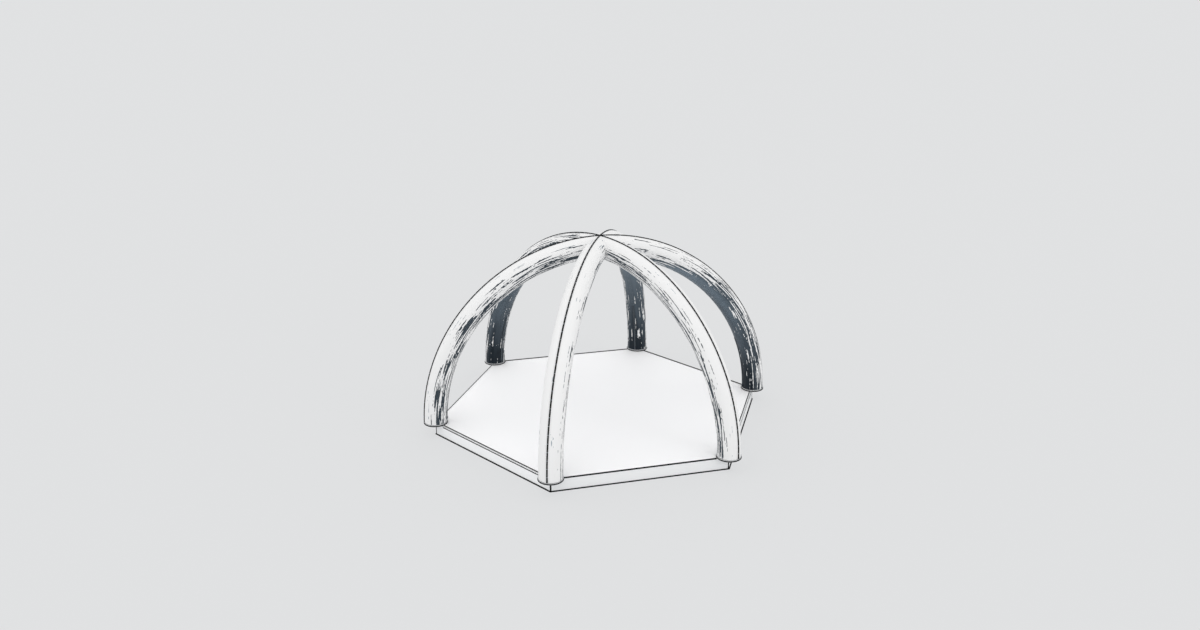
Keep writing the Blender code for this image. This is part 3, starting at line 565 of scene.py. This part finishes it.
def swept_mesh(name, section, rows, leg, share=1.0):
    """A closed bar from the rim along the arch; the section is (side, reach) pairs."""
    side, reach = (np.array(v)[:, None] for v in zip(*section))
    grid = leg_points(side, reach, np.linspace(0, share, rows + 1)[None, :], RIM_LEVEL)[0]
    number = np.arange(grid[..., 0].size).reshape(grid.shape[:2])
    faces = number[:, [0, -1]].T.tolist() + grid_faces(number, (1, 0))
    return mesh_from(name, grid.reshape(-1, 3), faces, turn=leg_turn(leg))


def welt_section():
    """Two flat wings with a flattened cord between them."""
    half, rise = WELT_WIDTH / 2, WELT_TOP - WELT_BED - EDGE
    wing = [(half, WELT_BED - SEATED), (half - .001, WELT_BED + EDGE)]
    arc = [(CORD_SHARE * half * cos(a), WELT_BED + EDGE + rise * sin(a))
           for a in np.linspace(0, pi, 13)]
    left = [(-x, z) for x, z in reversed(wing)]
    return wing + arc + left


for leg, leg_name in enumerate(LEGS):
    mesh = swept_mesh(f"welt_{leg_name}", welt_section(), ROWS, leg)
    add_piece(mesh, welt_fabric, [f"spine_piping_{leg_name}"])
print(f"welt {WELT_WIDTH * 1000:.0f} mm wide")

# %% Tacks across the welts
TACK_PITCH, TACK_LENGTH, TACK_PROUD, FIRST_TACK = .137, .005, 1.12, .03
thread = grained("polyester_thread_pale", "#AEB6BC", .6, 900)


def tack_mesh(name, leg):
    """Short wraps of thread over the welt, as slightly larger slices of it."""
    section = [(x * TACK_PROUD, WELT_BED + (z - WELT_BED) * TACK_PROUD) for x, z in welt_section()]
    first = asin(RIM_LEVEL / WELT_BED) + FIRST_TACK
    last = arch_end(np.array(WELT_WIDTH), WELT_BED)
    half, tacks = TACK_LENGTH / 2 / WELT_BED, []
    for middle in np.arange(first, last, TACK_PITCH / WELT_BED):
        rings = [[(x, -z * cos(angle), FLOOR + z * sin(angle)) for x, z in section]
                 for angle in (middle - half, middle + half)]
        tacks.append(bar_between("tack", *rings, leg_turn(leg)))
    return joined(name, tacks)


for leg, leg_name in enumerate(LEGS):
    add_piece(tack_mesh(f"welt_tacks_{leg_name}", leg), thread)
print("tacks", TACK_PITCH, "m apart on", len(LEGS), "welts")

# %% Zip tapes and teeth
zip_low, zip_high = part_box("access_zip_front")
ZIP_BED = ARCH - TUBE - SEATED
TAPE, TAPE_WIDTH, SLIT = .0015, zip_high.x - zip_low.x, .001
ZIP_START = asin(RIM_LEVEL / ZIP_BED)
ZIP_END = asin((zip_high.z - FLOOR) / (ARCH - TUBE))
# Teeth of one side stand a pitch apart and reach past the middle; their tops are smaller
TOOTH_PITCH, TOOTH_HEIGHT, TOOTH_REACH, TOOTH_ROOT = .006, .0078, .0045, .0016
TOOTH_SHARE, TOOTH_TOP, TOOTH_TAPER = .21, .6, .92


def zip_tape(leg, name):
    half, face = TAPE_WIDTH / 2, ZIP_BED - TAPE
    section = [(half, ZIP_BED), (half, face), (SLIT, face), (-SLIT, face), (-half, face),
               (-half, ZIP_BED)]
    share = (ZIP_END - ZIP_START) / (quarter - ZIP_START)
    return swept_mesh(name, section, 40, leg, share)


def zip_teeth(leg, name):
    """Tapered blocks that reach over the middle from either side in turn."""
    step, root, teeth = TOOTH_PITCH / ZIP_BED, ZIP_BED - TAPE, []
    ends = ((root, 1, 1), (root - TOOTH_HEIGHT, TOOTH_TOP, TOOTH_TAPER))
    for i in range(int((ZIP_END - ZIP_START - step) / step * 2) - 1):
        side, middle, rings = 1 if i % 2 else -1, ZIP_START + step + i * step / 2, []
        for reach, share, taper in ends:
            half = step * TOOTH_SHARE * share
            corners = oblong(-TOOTH_ROOT, middle - half, TOOTH_REACH, middle + half)
            rings.append([(side * x * taper, -reach * cos(a), FLOOR + reach * sin(a))
                          for x, a in corners])
        teeth.append(bar_between("tooth", *rings, leg_turn(leg)))
    return joined(name, teeth)


for leg, leg_name in enumerate(LEGS):
    add_piece(zip_tape(leg, f"zip_tape_{leg_name}"), zip_nylon,
              [f"access_zip_{leg_name}"])
    add_piece(zip_teeth(leg, f"zip_teeth_{leg_name}"), teeth_nylon)
print("zip up to", round(zip_high.z, 2), "m")

# %% [markdown]
# ## Zip sliders
# A slider is a die-cast body: a face plate with wide shoulders, two flanges that hold the teeth
# together, and a small bridge that the pull swings on. Each slider rides on its own body, which
# runs along the arch. Its parts are bars cut from outlines, joined into one mesh.

# %% Zip slider pieces
SLIDER_HEIGHT = .075
SLIDER_REST = asin(SLIDER_HEIGHT / ZIP_BED)
# Heights over the tape, then half-widths and places along the zip
FACE_LOW, FACE_TOP, BRIDGE_TOP, BRIDGE_WALL = .0086, .0114, .0172, .0018
FACE_HALF = [(.0035, .022), (.008, .02), (.01, .015), (.0096, .008), (.0082, -.003),
             (.008, -.017), (.0062, -.0212)]
FLANGE_IN, FLANGE_OUT, FLANGE_LOW, FLANGE_HIGH, FLANGE_FOOT = .0054, .008, -.019, .012, .0005
BRIDGE_MIDDLE, BRIDGE_REACH, BRIDGE_HOLE, BRIDGE_HALF = .004, .011, .0088, .0016
PULL_LOW, PULL_TOP = .0134, .0156
TONGUE = [(.004, -.004), (.005, -.025), (.003, -.028)]
EYE_HALF, EYE_HOLE, EYE_LOW, EYE_HIGH = .004, .0026, -.0042, .0078
EYE_HEAD = [(.004, .0052), (.0032, .0084)]
FLANGE_SUNK, BRIDGE_SUNK = .0004, .0003


def mirrored(half):
    """The outline whose right half is given, as (side, height) pairs."""
    return half + [(-y, z) for y, z in reversed(half)]


def slider_place(leg, facing):
    """Frame at the slider's rest; the local X axis points inwards, or across the zip."""
    out = Vector((0, -cos(SLIDER_REST), sin(SLIDER_REST)))
    up = Vector((0, sin(SLIDER_REST), cos(SLIDER_REST)))
    across = Vector((1, 0, 0))
    columns = (-out, -across, up) if facing == "inwards" else (across, -out, up)
    place = Matrix(columns).transposed().to_4x4()
    place.translation = Vector((0, 0, FLOOR)) + out * (ZIP_BED - TAPE)
    return leg_turn(leg) @ place


def bridge_arc(rise, reach):
    return [(FACE_TOP - BRIDGE_SUNK + rise * sin(a), BRIDGE_MIDDLE + reach * cos(a))
            for a in np.linspace(0, pi, 13)]


def slider_mesh(name, leg):
    inwards, across = (slider_place(leg, facing) for facing in ("inwards", "across"))
    bars = [bar_across("face", mirrored(FACE_HALF), FACE_LOW, FACE_TOP, inwards)]
    for side in (-1, 1):
        flange = oblong(side * FLANGE_IN, FLANGE_LOW, side * FLANGE_OUT, FLANGE_HIGH)
        bars.append(bar_across("flange", flange, FLANGE_FOOT, FACE_LOW + FLANGE_SUNK,
                               inwards))
    rise = BRIDGE_TOP - FACE_TOP
    bridge = bridge_arc(rise, BRIDGE_REACH) + bridge_arc(rise - BRIDGE_WALL, BRIDGE_HOLE)[::-1]
    bars.append(bar_across("bridge", bridge, -BRIDGE_HALF, BRIDGE_HALF, across))
    return joined(name, bars)


def pull_mesh(name, leg):
    outlines = [mirrored(TONGUE), mirrored(EYE_HEAD)]
    outlines += [oblong(low, EYE_LOW, high, EYE_HIGH)
                 for low, high in ((-EYE_HALF, -EYE_HOLE), (EYE_HOLE, EYE_HALF))]
    place = slider_place(leg, "inwards")
    return joined(name, [bar_across("pull", o, PULL_LOW, PULL_TOP, place) for o in outlines])


for leg, leg_name in enumerate(LEGS):
    body = f"slider_{leg_name}"
    add_piece(slider_mesh(f"slider_cast_{leg_name}", leg), gunmetal,
              [f"zip_slider_{leg_name}"], body)
    add_piece(pull_mesh(f"slider_pull_{leg_name}", leg), gunmetal, body=body)
print("sliders at", round(FLOOR + SLIDER_HEIGHT, 3), "m above the ground")

# %% [markdown]
# ## Foot cups
# A cup of pale moulded plastic holds each leg's hem, with a dark bead round its base, a thin one
# under its top and a steel stud below. All are turned profiles. The CAD cup has flats, and the
# podium is notched to match, so the smooth cup takes the size of the flats.

# %% Turned pieces
def turned_mesh(name, profile, place, around=96):
    """A closed profile of (radius, height) pairs, turned about the upright axis at that place."""
    angle = np.linspace(0, tau, around, endpoint=False)[:, None]
    radius, height = np.array(profile).T
    points = np.broadcast_arrays(radius * np.cos(angle), radius * np.sin(angle), height)
    faces = grid_faces(np.arange(around * len(profile)).reshape(around, -1), (1, 1))
    return mesh_from(name, np.stack(points, -1).reshape(-1, 3), faces, turn=place, merge=1e-6)


def rounded(profile, corners, radius, steps=4):
    """The profile with the corners of those numbers rounded."""
    out = []
    for i, here in enumerate(map(Vector, profile)):
        if i not in corners:
            out.append(tuple(here))
            continue
        sides = [Vector(profile[j % len(profile)]) - here for j in (i - 1, i + 1)]
        start, end = (here + side.normalized() * min(radius, side.length / 2) for side in sides)
        out += [tuple(start.lerp(here, t).lerp(here.lerp(end, t), t))
                for t in np.linspace(0, 1, steps + 1)]
    return out


CUP_FLATS, CUP_WALL, CUP_SEAT = 20, .0056, .01
SPIGOT_IN, SPIGOT_OUT, SPIGOT_HEIGHT = .17, .186, .027
BEAD, BEAD_HEIGHT, BEAD_GAP = .007, .021, .0003
RIM_BEAD, RIM_BEAD_HEIGHT, RIM_DROP, GAP = .0018, .005, .001, .0002
STUD, STUD_INSET, STUD_TIP, VINYL = .0075, .13, .0015, .003
CUP_ROUND, BEAD_ROUND, RIM_ROUND = .0015, .004, .0012
CUP_RADIUS = cup_high.x * cos(pi / CUP_FLATS)
cup_base, cup_top = FLOOR - VINYL, FLOOR + RIM_LEVEL - SEATED
cup_seat, spigot_top = cup_base + CUP_SEAT, cup_base + SPIGOT_HEIGHT
cup_profile = [(SPIGOT_IN, cup_base), (CUP_RADIUS, cup_base), (CUP_RADIUS, cup_top),
               (CUP_RADIUS - CUP_WALL, cup_top), (CUP_RADIUS - CUP_WALL, cup_seat),
               (SPIGOT_OUT, cup_seat), (SPIGOT_OUT, spigot_top), (SPIGOT_IN, spigot_top)]
cup_profile = rounded(cup_profile, (2, 3), CUP_ROUND)
bead_profile = rounded(oblong(CUP_RADIUS + BEAD_GAP, FLOOR + SEATED, CUP_RADIUS + BEAD,
                              FLOOR + BEAD_HEIGHT), (1, 2), BEAD_ROUND)
rim_low = cup_top - RIM_BEAD_HEIGHT - RIM_DROP
rim_profile = rounded(oblong(CUP_RADIUS + GAP, rim_low, CUP_RADIUS + RIM_BEAD,
                             rim_low + RIM_BEAD_HEIGHT), (1, 2), RIM_ROUND)
stud_profile = [(0, cup_low.z), (STUD - STUD_TIP, cup_low.z), (STUD, cup_low.z + STUD_TIP),
                (STUD, cup_base - GAP), (0, cup_base - GAP)]
for leg, leg_name in enumerate(LEGS):
    stand, off_centre = (leg_turn(leg) @ Matrix.Translation((0, inset - CUP_CENTRE, 0))
                         for inset in (0, STUD_INSET))
    cup = f"foot_cup_{leg_name}"
    add_piece(turned_mesh(f"{cup}_moulded", cup_profile, stand), cup_plastic,
              [cup])
    for kind, profile in (("bead", bead_profile), ("rim", rim_profile)):
        mesh = turned_mesh(f"foot_{kind}_{leg_name}", profile, stand)
        add_piece(mesh, trim_pvc)
    mesh = turned_mesh(f"foot_stud_{leg_name}", stud_profile, off_centre, 24)
    add_piece(mesh, steel)
print(f"cup radius {CUP_RADIUS:.4f} m, top at {cup_top:.3f} m")

# %% [markdown]
# ## Inflation valve
# The body is moulded in one piece with its flange, its neck and the two lugs of the hinge. The cap
# has a plug for the mouth and a lip for the thumb, and the plunger is a disc that the air presses
# against the seat from inside, with a stem and a button to let air out. The cap and the plunger
# move, so each rides on its own body. The neck needs a real hole in the cloth and in the film.

# %% Valve pieces
FLANGE, FLANGE_TOP, MOUTH, NECK, THROAT, THROAT_TOP = .042, .0054, .018, .024, .012, -.021
HINGE_OFFSET, HINGE_LEVEL, KNUCKLE, KNUCKLE_REACH, LUG = .034, .0088, .003, .007, .004
HOLE_LOW, HOLE_HIGH, OVERLAP, LUG_GAP = -.05, .04, .0002, .0001
LID, LID_LOW, LID_TOP, PLUG, PLUG_DEPTH = .028, .0058, .0098, .017, .003
DISH, DISH_EDGE, DISH_DEPTH, STRAP_LOW, STRAP_TOP, STRAP_END = .021, .001, .0012, .001, .003, .8
# How far the lip's corners lie out from the lid's edge and up from its underside
LIP = [(.006, .0022), (.005, STRAP_LOW), (-OVERLAP, STRAP_LOW), (-OVERLAP, STRAP_TOP),
       (.005, .0034)]
PLUNGER = [(0, -.0274), (.015, -.0274), (.015, -.0244), (.003, -.0244), (.003, -.0066),
           (.007, -.0066), (.007, -.0036), (0, -.0036)]


def pierce(piece):
    """Cuts the hole for the valve's neck."""
    hole = turned_mesh("hole", oblong(0, HOLE_LOW, NECK + SEATED, HOLE_HIGH), VALVE_SEAT, 48)
    tool = in_scene("hole", hole)
    cut = piece.modifiers.new("hole", "BOOLEAN")
    cut.object, cut.solver = tool, "EXACT"
    graph = bpy.context.evaluated_depsgraph_get()
    mesh = bpy.data.meshes.new_from_object(piece.evaluated_get(graph), depsgraph=graph,
                                           preserve_all_data_layers=True)
    piece.modifiers.clear()
    piece.data = mesh
    bpy.data.objects.remove(tool)


def valve_turned(node, kind, profile, corners, radius, body, around=64):
    profile = rounded(profile, corners, radius)
    mesh = turned_mesh(f"valve_{node}_{kind}", profile, VALVE_SEAT, around)
    add_piece(mesh, valve_abs, [f"inflation_valve_{node}"], body)


def valve_bar(name, outline, low, high, body="frame"):
    mesh = bar_across(name, outline, low, high, VALVE_SEAT)
    add_piece(mesh, valve_abs, body=body)


pierce(bpy.data.objects["sleeve_outer_back_cloth"])
pierce(air_chamber)

body_profile = [(MOUTH, FLANGE_TOP), (FLANGE, FLANGE_TOP), (FLANGE, SEATED), (NECK, SEATED),
                (NECK, -VALVE_NECK), (THROAT, -VALVE_NECK), (THROAT, THROAT_TOP),
                (MOUTH, THROAT_TOP)]
valve_turned("body", "moulded", body_profile, (0, 1), .0015, "frame")
knuckle = [(HINGE_OFFSET + KNUCKLE * cos(a), HINGE_LEVEL + KNUCKLE * sin(a))
           for a in np.linspace(0, tau, 24, endpoint=False)]
lug = [p for p in knuckle if p[1] > HINGE_LEVEL - 1e-6]
lug += [(HINGE_OFFSET + side * KNUCKLE, FLANGE_TOP + LUG_GAP) for side in (-1, 1)]
near, far = KNUCKLE_REACH + SEATED, KNUCKLE_REACH + SEATED + LUG
valve_bar("valve_lug_left", lug, -far, -near)
valve_bar("valve_lug_right", lug, near, far)

lid_profile = [(0, LID_LOW - PLUG_DEPTH), (PLUG, LID_LOW - PLUG_DEPTH), (PLUG, LID_LOW),
               (LID, LID_LOW), (LID, LID_TOP), (DISH, LID_TOP),
               (DISH - DISH_EDGE, LID_TOP - DISH_DEPTH), (0, LID_TOP - DISH_DEPTH)]
valve_turned("cap", "lid", lid_profile, (1, 4), .0012, "valve_cap")
strap = oblong(LID - OVERLAP, LID_LOW + STRAP_LOW, HINGE_OFFSET - KNUCKLE * STRAP_END,
               LID_LOW + STRAP_TOP)
lip = [(-LID - out, LID_LOW + up) for out, up in LIP]
for name, outline, half in (("strap", strap, .004), ("lip", lip, .006),
                            ("knuckle", knuckle, KNUCKLE_REACH)):
    valve_bar(f"valve_cap_{name}", outline, -half, half, "valve_cap")
valve_turned("plunger", "disc", PLUNGER, (1, 6), .001, "valve_plunger", 48)

# %% [markdown]
# ## Levelling feet
# Each corner post stands on a round pad with a threaded spindle. The thread is a turned row of
# ridges, which looks the same at this size.

# %% Levelling feet
PAD, PAD_RIM, PAD_HEIGHT, COLLAR, SPINDLE = .045, .007, .012, .015, .01
THREAD_PITCH, THREAD_DEPTH, PLAIN_END = .0025, .0009, .002
foot_low, foot_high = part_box("levelling_foot_front")
foot_profile = rounded([(0, 0), (PAD, 0), (PAD, PAD_RIM), (COLLAR, PAD_HEIGHT),
                        (SPINDLE, PAD_HEIGHT)], (1, 2), .0015)
ridges = int((foot_high.z - PAD_HEIGHT - 2 * PLAIN_END) / THREAD_PITCH)
for ridge in range(ridges):
    start = PAD_HEIGHT + PLAIN_END + ridge * THREAD_PITCH
    foot_profile += [(SPINDLE, start), (SPINDLE - THREAD_DEPTH, start + THREAD_PITCH / 2)]
foot_profile += [(SPINDLE - PLAIN_END, foot_high.z), (0, foot_high.z)]
for leg_name in LEGS:
    foot = f"levelling_foot_{leg_name}"
    low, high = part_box(foot)
    place = Matrix.Translation(((low.x + high.x) / 2, (low.y + high.y) / 2, 0))
    mesh = turned_mesh(f"foot_pad_{leg_name}", foot_profile, place, 40)
    add_piece(mesh, steel, [foot], foot)
print("ridges of thread", ridges)

# %% [markdown]
# ## Floor covering
# A sheet of white vinyl lies on the deck, cut round the cups and along the rails' flanges. It is a
# plate whose outline has arcs and straight edges.

# %% Floor covering
APOTHEM = ARCH * cos(HALF_BAY)
CUT_CLEARANCE = .0012
RAIL_LIP, RAIL_FACE = (corner.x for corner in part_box("edge_rail_right"))
CUP_CUT = CUP_RADIUS + CUT_CLEARANCE


def side_normal(side):
    """Unit vector in plan that points out of a side."""
    angle = side * BAY + HALF_BAY
    return Vector((sin(angle), -cos(angle)))


def side_run(side):
    """Unit vector in plan along a side, going round anticlockwise."""
    return Vector((-side_normal(side).y, side_normal(side).x))


def cut_outline(steps=14):
    """The sheet's corners in plan, going round anticlockwise."""
    out = []
    for leg in range(len(LEGS)):
        spot = Vector((sin(leg * BAY), -cos(leg * BAY))) * CUP_CENTRE
        ends = []
        for side, inwards in (((leg - 1) % len(LEGS), -1), (leg, 1)):
            edge = RAIL_LIP - CUT_CLEARANCE if SIDES[side] in RAILED else APOTHEM
            depth = edge - spot.dot(side_normal(side))
            run = sqrt(CUP_CUT ** 2 - depth ** 2)
            ends.append(side_normal(side) * depth + side_run(side) * run * inwards)
        first, last = (atan2(*end.yx) for end in ends)
        sweep = (last - first) % -tau
        out += [spot + Vector((cos(a), sin(a))) * CUP_CUT
                for a in np.linspace(first, first + sweep, steps)]
    return out


mesh = plate_mesh("floor_vinyl", cut_outline(), FLOOR - VINYL, FLOOR)
floor_vinyl = add_piece(mesh, vinyl, ["floor_covering"])

# %% [markdown]
# ## Edge trims
# Every edge of the podium has a thin charcoal trim: an angle over the top edge, one along the
# ground and one up each corner. On the two railed sides the floor ends a little short of the side
# and the rail makes a pale ledge below it, so there a strip lies on the ledge's outer edge and an
# angle on the upright edge of the floor.

# %% Trims
TRIM, CORNER_TRIM, BEAD_SHARE = .0025, .015, .7
# Leg down the face, flange over the top and height of the bead, for the trims of the top edges
PLAIN_TRIM, BROAD_TRIM, RISER_TRIM = (.017, .012, .006), (.012, .028, .009), (.0115, .010, .003)
# Foot and top of the strip on the ledge's outer edge, from the ledge's level
LEDGE_STRIP = (-.021, -.0035)
GROUND_LEG, GROUND_FLANGE, GROUND_GAP = .015, .020, .0005
TO_CUP, UNDER_LEDGE, UNDER_FLOOR, OVER_LEG = .002, .002, .0045, .001
# The rail is bent from plate: flat on the fascia, then up to the floor
RAIL_PLATE = .003
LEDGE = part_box("fascia_right")[1].z + SEATED + RAIL_PLATE
RISER = RAIL_LIP + RAIL_PLATE


def face_of(side):
    """How far a side's outer face lies from the middle."""
    return RAIL_FACE if SIDES[side % len(SIDES)] in RAILED else APOTHEM


def mitre_reach(side, neighbour, out):
    """How far a line at that distance outwards runs along its side to meet the neighbour's."""
    across = face_of(neighbour) + out - face_of(side)
    return (across - out * cos(BAY)) / sin(BAY) - SEATED


def bar_mesh(name, section, side, reach=None):
    """A closed bar along one side, mitred with its neighbours or stopped short of the corners.
    The section is (distance outwards, height) pairs."""
    rings = []
    for end in (-1, 1):
        far = [reach or mitre_reach(side, side + end, out) for out, z in section]
        rings.append([(*(side_normal(side) * out + side_run(side) * end * run), z)
                      for (out, z), run in zip(section, far)])
    return bar_between(name, *rings)


def angle_section(face, top, leg, flange, bead):
    """An angle over an outer top edge, with a rounded bead on top."""
    out, high = face + SEATED, top + SEATED
    corners = [(out, high - leg), (out + TRIM, high - leg), (out + TRIM, high + bead),
               (out - flange, high + bead), (out - flange, high), (out, high)]
    return rounded(corners, (2, 3), bead * BEAD_SHARE)


def ground_section(face):
    """An angle along the ground: a low leg up the face and a flange that lies flat outside it."""
    out, top = face + SEATED, GROUND_GAP + TRIM
    corners = [(out, GROUND_GAP), (out + GROUND_FLANGE, GROUND_GAP), (out + GROUND_FLANGE, top),
               (out + TRIM, top), (out + TRIM, GROUND_LEG), (out, GROUND_LEG)]
    return rounded(corners, (2, 4), .0015)


half_side = APOTHEM * tan(HALF_BAY)
to_cup = half_side - CUP_RADIUS - BEAD - TO_CUP
for side, side_name in enumerate(SIDES):
    face = face_of(side)
    edge = BROAD_TRIM if side_name.startswith("back") else PLAIN_TRIM
    trims = {"base": ground_section(face)}
    if side_name in RAILED:
        low, high = (LEDGE + level for level in LEDGE_STRIP)
        strip = oblong(face + SEATED, low, face + SEATED + TRIM, high)
        trims["top"] = rounded(strip, (1, 2), .001)
        trims["riser"] = angle_section(RISER, FLOOR, *RISER_TRIM)
    else:
        trims["top"] = angle_section(face, FLOOR, *edge)
    for kind, section in trims.items():
        reach = None if kind == "base" else to_cup
        mesh = bar_mesh(f"trim_{kind}_{side_name}", section, side, reach)
        add_piece(mesh, trim_pvc)
print("side", round(2 * half_side, 3), "m, ledge at", round(LEDGE, 4), "m")

# %% Corner trims
def corner_point(sides, distances):
    """Where the lines at those distances along two neighbouring sides cross, in plan."""
    return Matrix([side_normal(s) for s in sides]).inverted() @ Vector(distances)


for leg, leg_name in enumerate(LEGS):
    sides = ((leg - 1) % len(LEGS), leg)
    inner, outer = (corner_point(sides, [face_of(s) + SEATED + thick for s in sides])
                    for thick in (0, TRIM))
    first, last = (inner + side_run(s) * end * CORNER_TRIM for s, end in zip(sides, (-1, 1)))
    plan = [inner, first, first + side_normal(sides[0]) * TRIM, outer,
            last + side_normal(sides[1]) * TRIM, last]
    railed = any(SIDES[s] in RAILED for s in sides)
    top = LEDGE - UNDER_LEDGE if railed else FLOOR - UNDER_FLOOR
    mesh = plate_mesh(f"trim_corner_{leg_name}", plan, GROUND_LEG + OVER_LEG, top)
    add_piece(mesh, trim_pvc)
print("corner trims", len(LEGS))

# %% [markdown]
# ## Pieces kept from the CAD
# The podium's boards and metalwork have their real shapes in the CAD, so they stay. A small bevel
# catches the light on their edges, and each gets its own finish.

# %% Finishes for kept nodes
WORN_EDGE = .0008
KEPT = {"podium_frame": aluminium, "deck_panel": plywood, "fascia": board_paint,
        "edge_rail": rail_paint}
for name, node in nodes.items():
    for finish in (made for start, made in KEPT.items() if name.startswith(start)):
        for place in node.material_slots:
            place.material = finish
        bevel = node.modifiers.new("worn_edges", "BEVEL")
        bevel.width, bevel.segments = WORN_EDGE, 2
        bevel.limit_method, bevel.angle_limit = "ANGLE", SMOOTH_UP_TO
print("kept", sum(not n.hide_render for n in nodes.values()))

# %% [markdown]
# ## Floor, light and camera
# The background is one flat pale grey, so floor and sky have the same colour. The light is nearly
# even from all round. Two soft lamps, a broad one from the front left and a lower one from the
# right, give the sides a little shape.

# %% Stage
BACKDROP = linear("#E0E1E2")
FLOOR_SHADE, PLAIN_SHARE, GROUND_RADIUS, GROUND_DEPTH = .9, .8, 500, .05
disc = [(GROUND_RADIUS * cos(a), GROUND_RADIUS * sin(a))
        for a in np.linspace(0, tau, 64, endpoint=False)]
ground = in_scene("ground", plate_mesh("ground", disc, -GROUND_DEPTH, 0))
shade = (*[c * FLOOR_SHADE for c in BACKDROP[:3]], 1)
ground_paint, tree, shader = new_material("matt_floor_grey", Roughness=1, Specular_IOR_Level=0,
                                          Base_Color=shade)
# The camera sees the shadow at part of its depth, over the backdrop's own colour
seen = add(tree, "LightPath").outputs["Is Camera Ray"]
plain = add(tree, "Math", (seen, PLAIN_SHARE), operation="MULTIPLY")
paint = add(tree, "Emission", {"Color": BACKDROP, "Strength": 1})
both = add(tree, "MixShader", (plain, shader, paint))
tree.links.new(both.outputs[0], tree.nodes["Material Output"].inputs["Surface"])
ground.data.materials.append(ground_paint)

# Strength of the sky at the horizon and overhead
SKY_LOW, SKY_HIGH = 1.27, .92
world = bpy.data.worlds.new("even_sky")
bpy.context.scene.world = world
world.use_nodes = True
tree = world.node_tree
tree.nodes.clear()
rays = add(tree, "LightPath").outputs
seen = rays["Is Camera Ray"]
for kind in ("Glossy", "Transmission"):
    seen = add(tree, "Math", (seen, rays[f"Is {kind} Ray"]), operation="MAXIMUM")
up = add(tree, "SeparateXYZ", (add(tree, "TexCoord").outputs["Generated"],)).outputs["Z"]
strength = add(tree, "MapRange", {0: up, 3: SKY_LOW, 4: SKY_HIGH})
light = add(tree, "Background", {"Color": (1, 1, 1, 1), "Strength": strength})
backdrop = add(tree, "Background", {"Color": BACKDROP, "Strength": 1})
add(tree, "OutputWorld", (add(tree, "MixShader", (seen, light, backdrop)),))

# %% Lamps and camera
# Azimuth, elevation and angular size in degrees, and energy
LAMPS = {"soft_lamp_left": (-50, 40, 100, .35), "soft_lamp_right": (66, 17, 20, .3)}
CAMERA_AZIMUTH, CAMERA_ELEVATION = 14.982, 19.127
CAMERA_DISTANCE, CAMERA_LENS = 18.813, 31.656
TARGET = Vector((.0012, 0, 1.96))


def compass(azimuth, elevation):
    """Unit vector towards a viewer or a lamp, from degrees; azimuth 0 is at -Y."""
    azimuth, elevation = radians(azimuth), radians(elevation)
    flat = cos(elevation)
    return Vector((sin(azimuth) * flat, -cos(azimuth) * flat, sin(elevation)))


for name, (azimuth, elevation, size, energy) in LAMPS.items():
    lamp = in_scene(name, bpy.data.lights.new(name, "SUN"))
    lamp.data.energy, lamp.data.angle = energy, radians(size)
    lamp.rotation_euler = compass(azimuth, elevation).to_track_quat("Z", "Y").to_euler()

camera = in_scene("camera", bpy.data.cameras.new("camera"))
camera.data.lens = CAMERA_LENS
back = compass(CAMERA_AZIMUTH, CAMERA_ELEVATION)
camera.location = TARGET + back * CAMERA_DISTANCE
camera.rotation_euler = back.to_track_quat("Z", "Y").to_euler()
camera.data.clip_end = 1000
bpy.context.scene.camera = camera
bpy.context.scene.view_settings.view_transform = "Standard"
print("camera at", [round(v, 3) for v in camera.location])
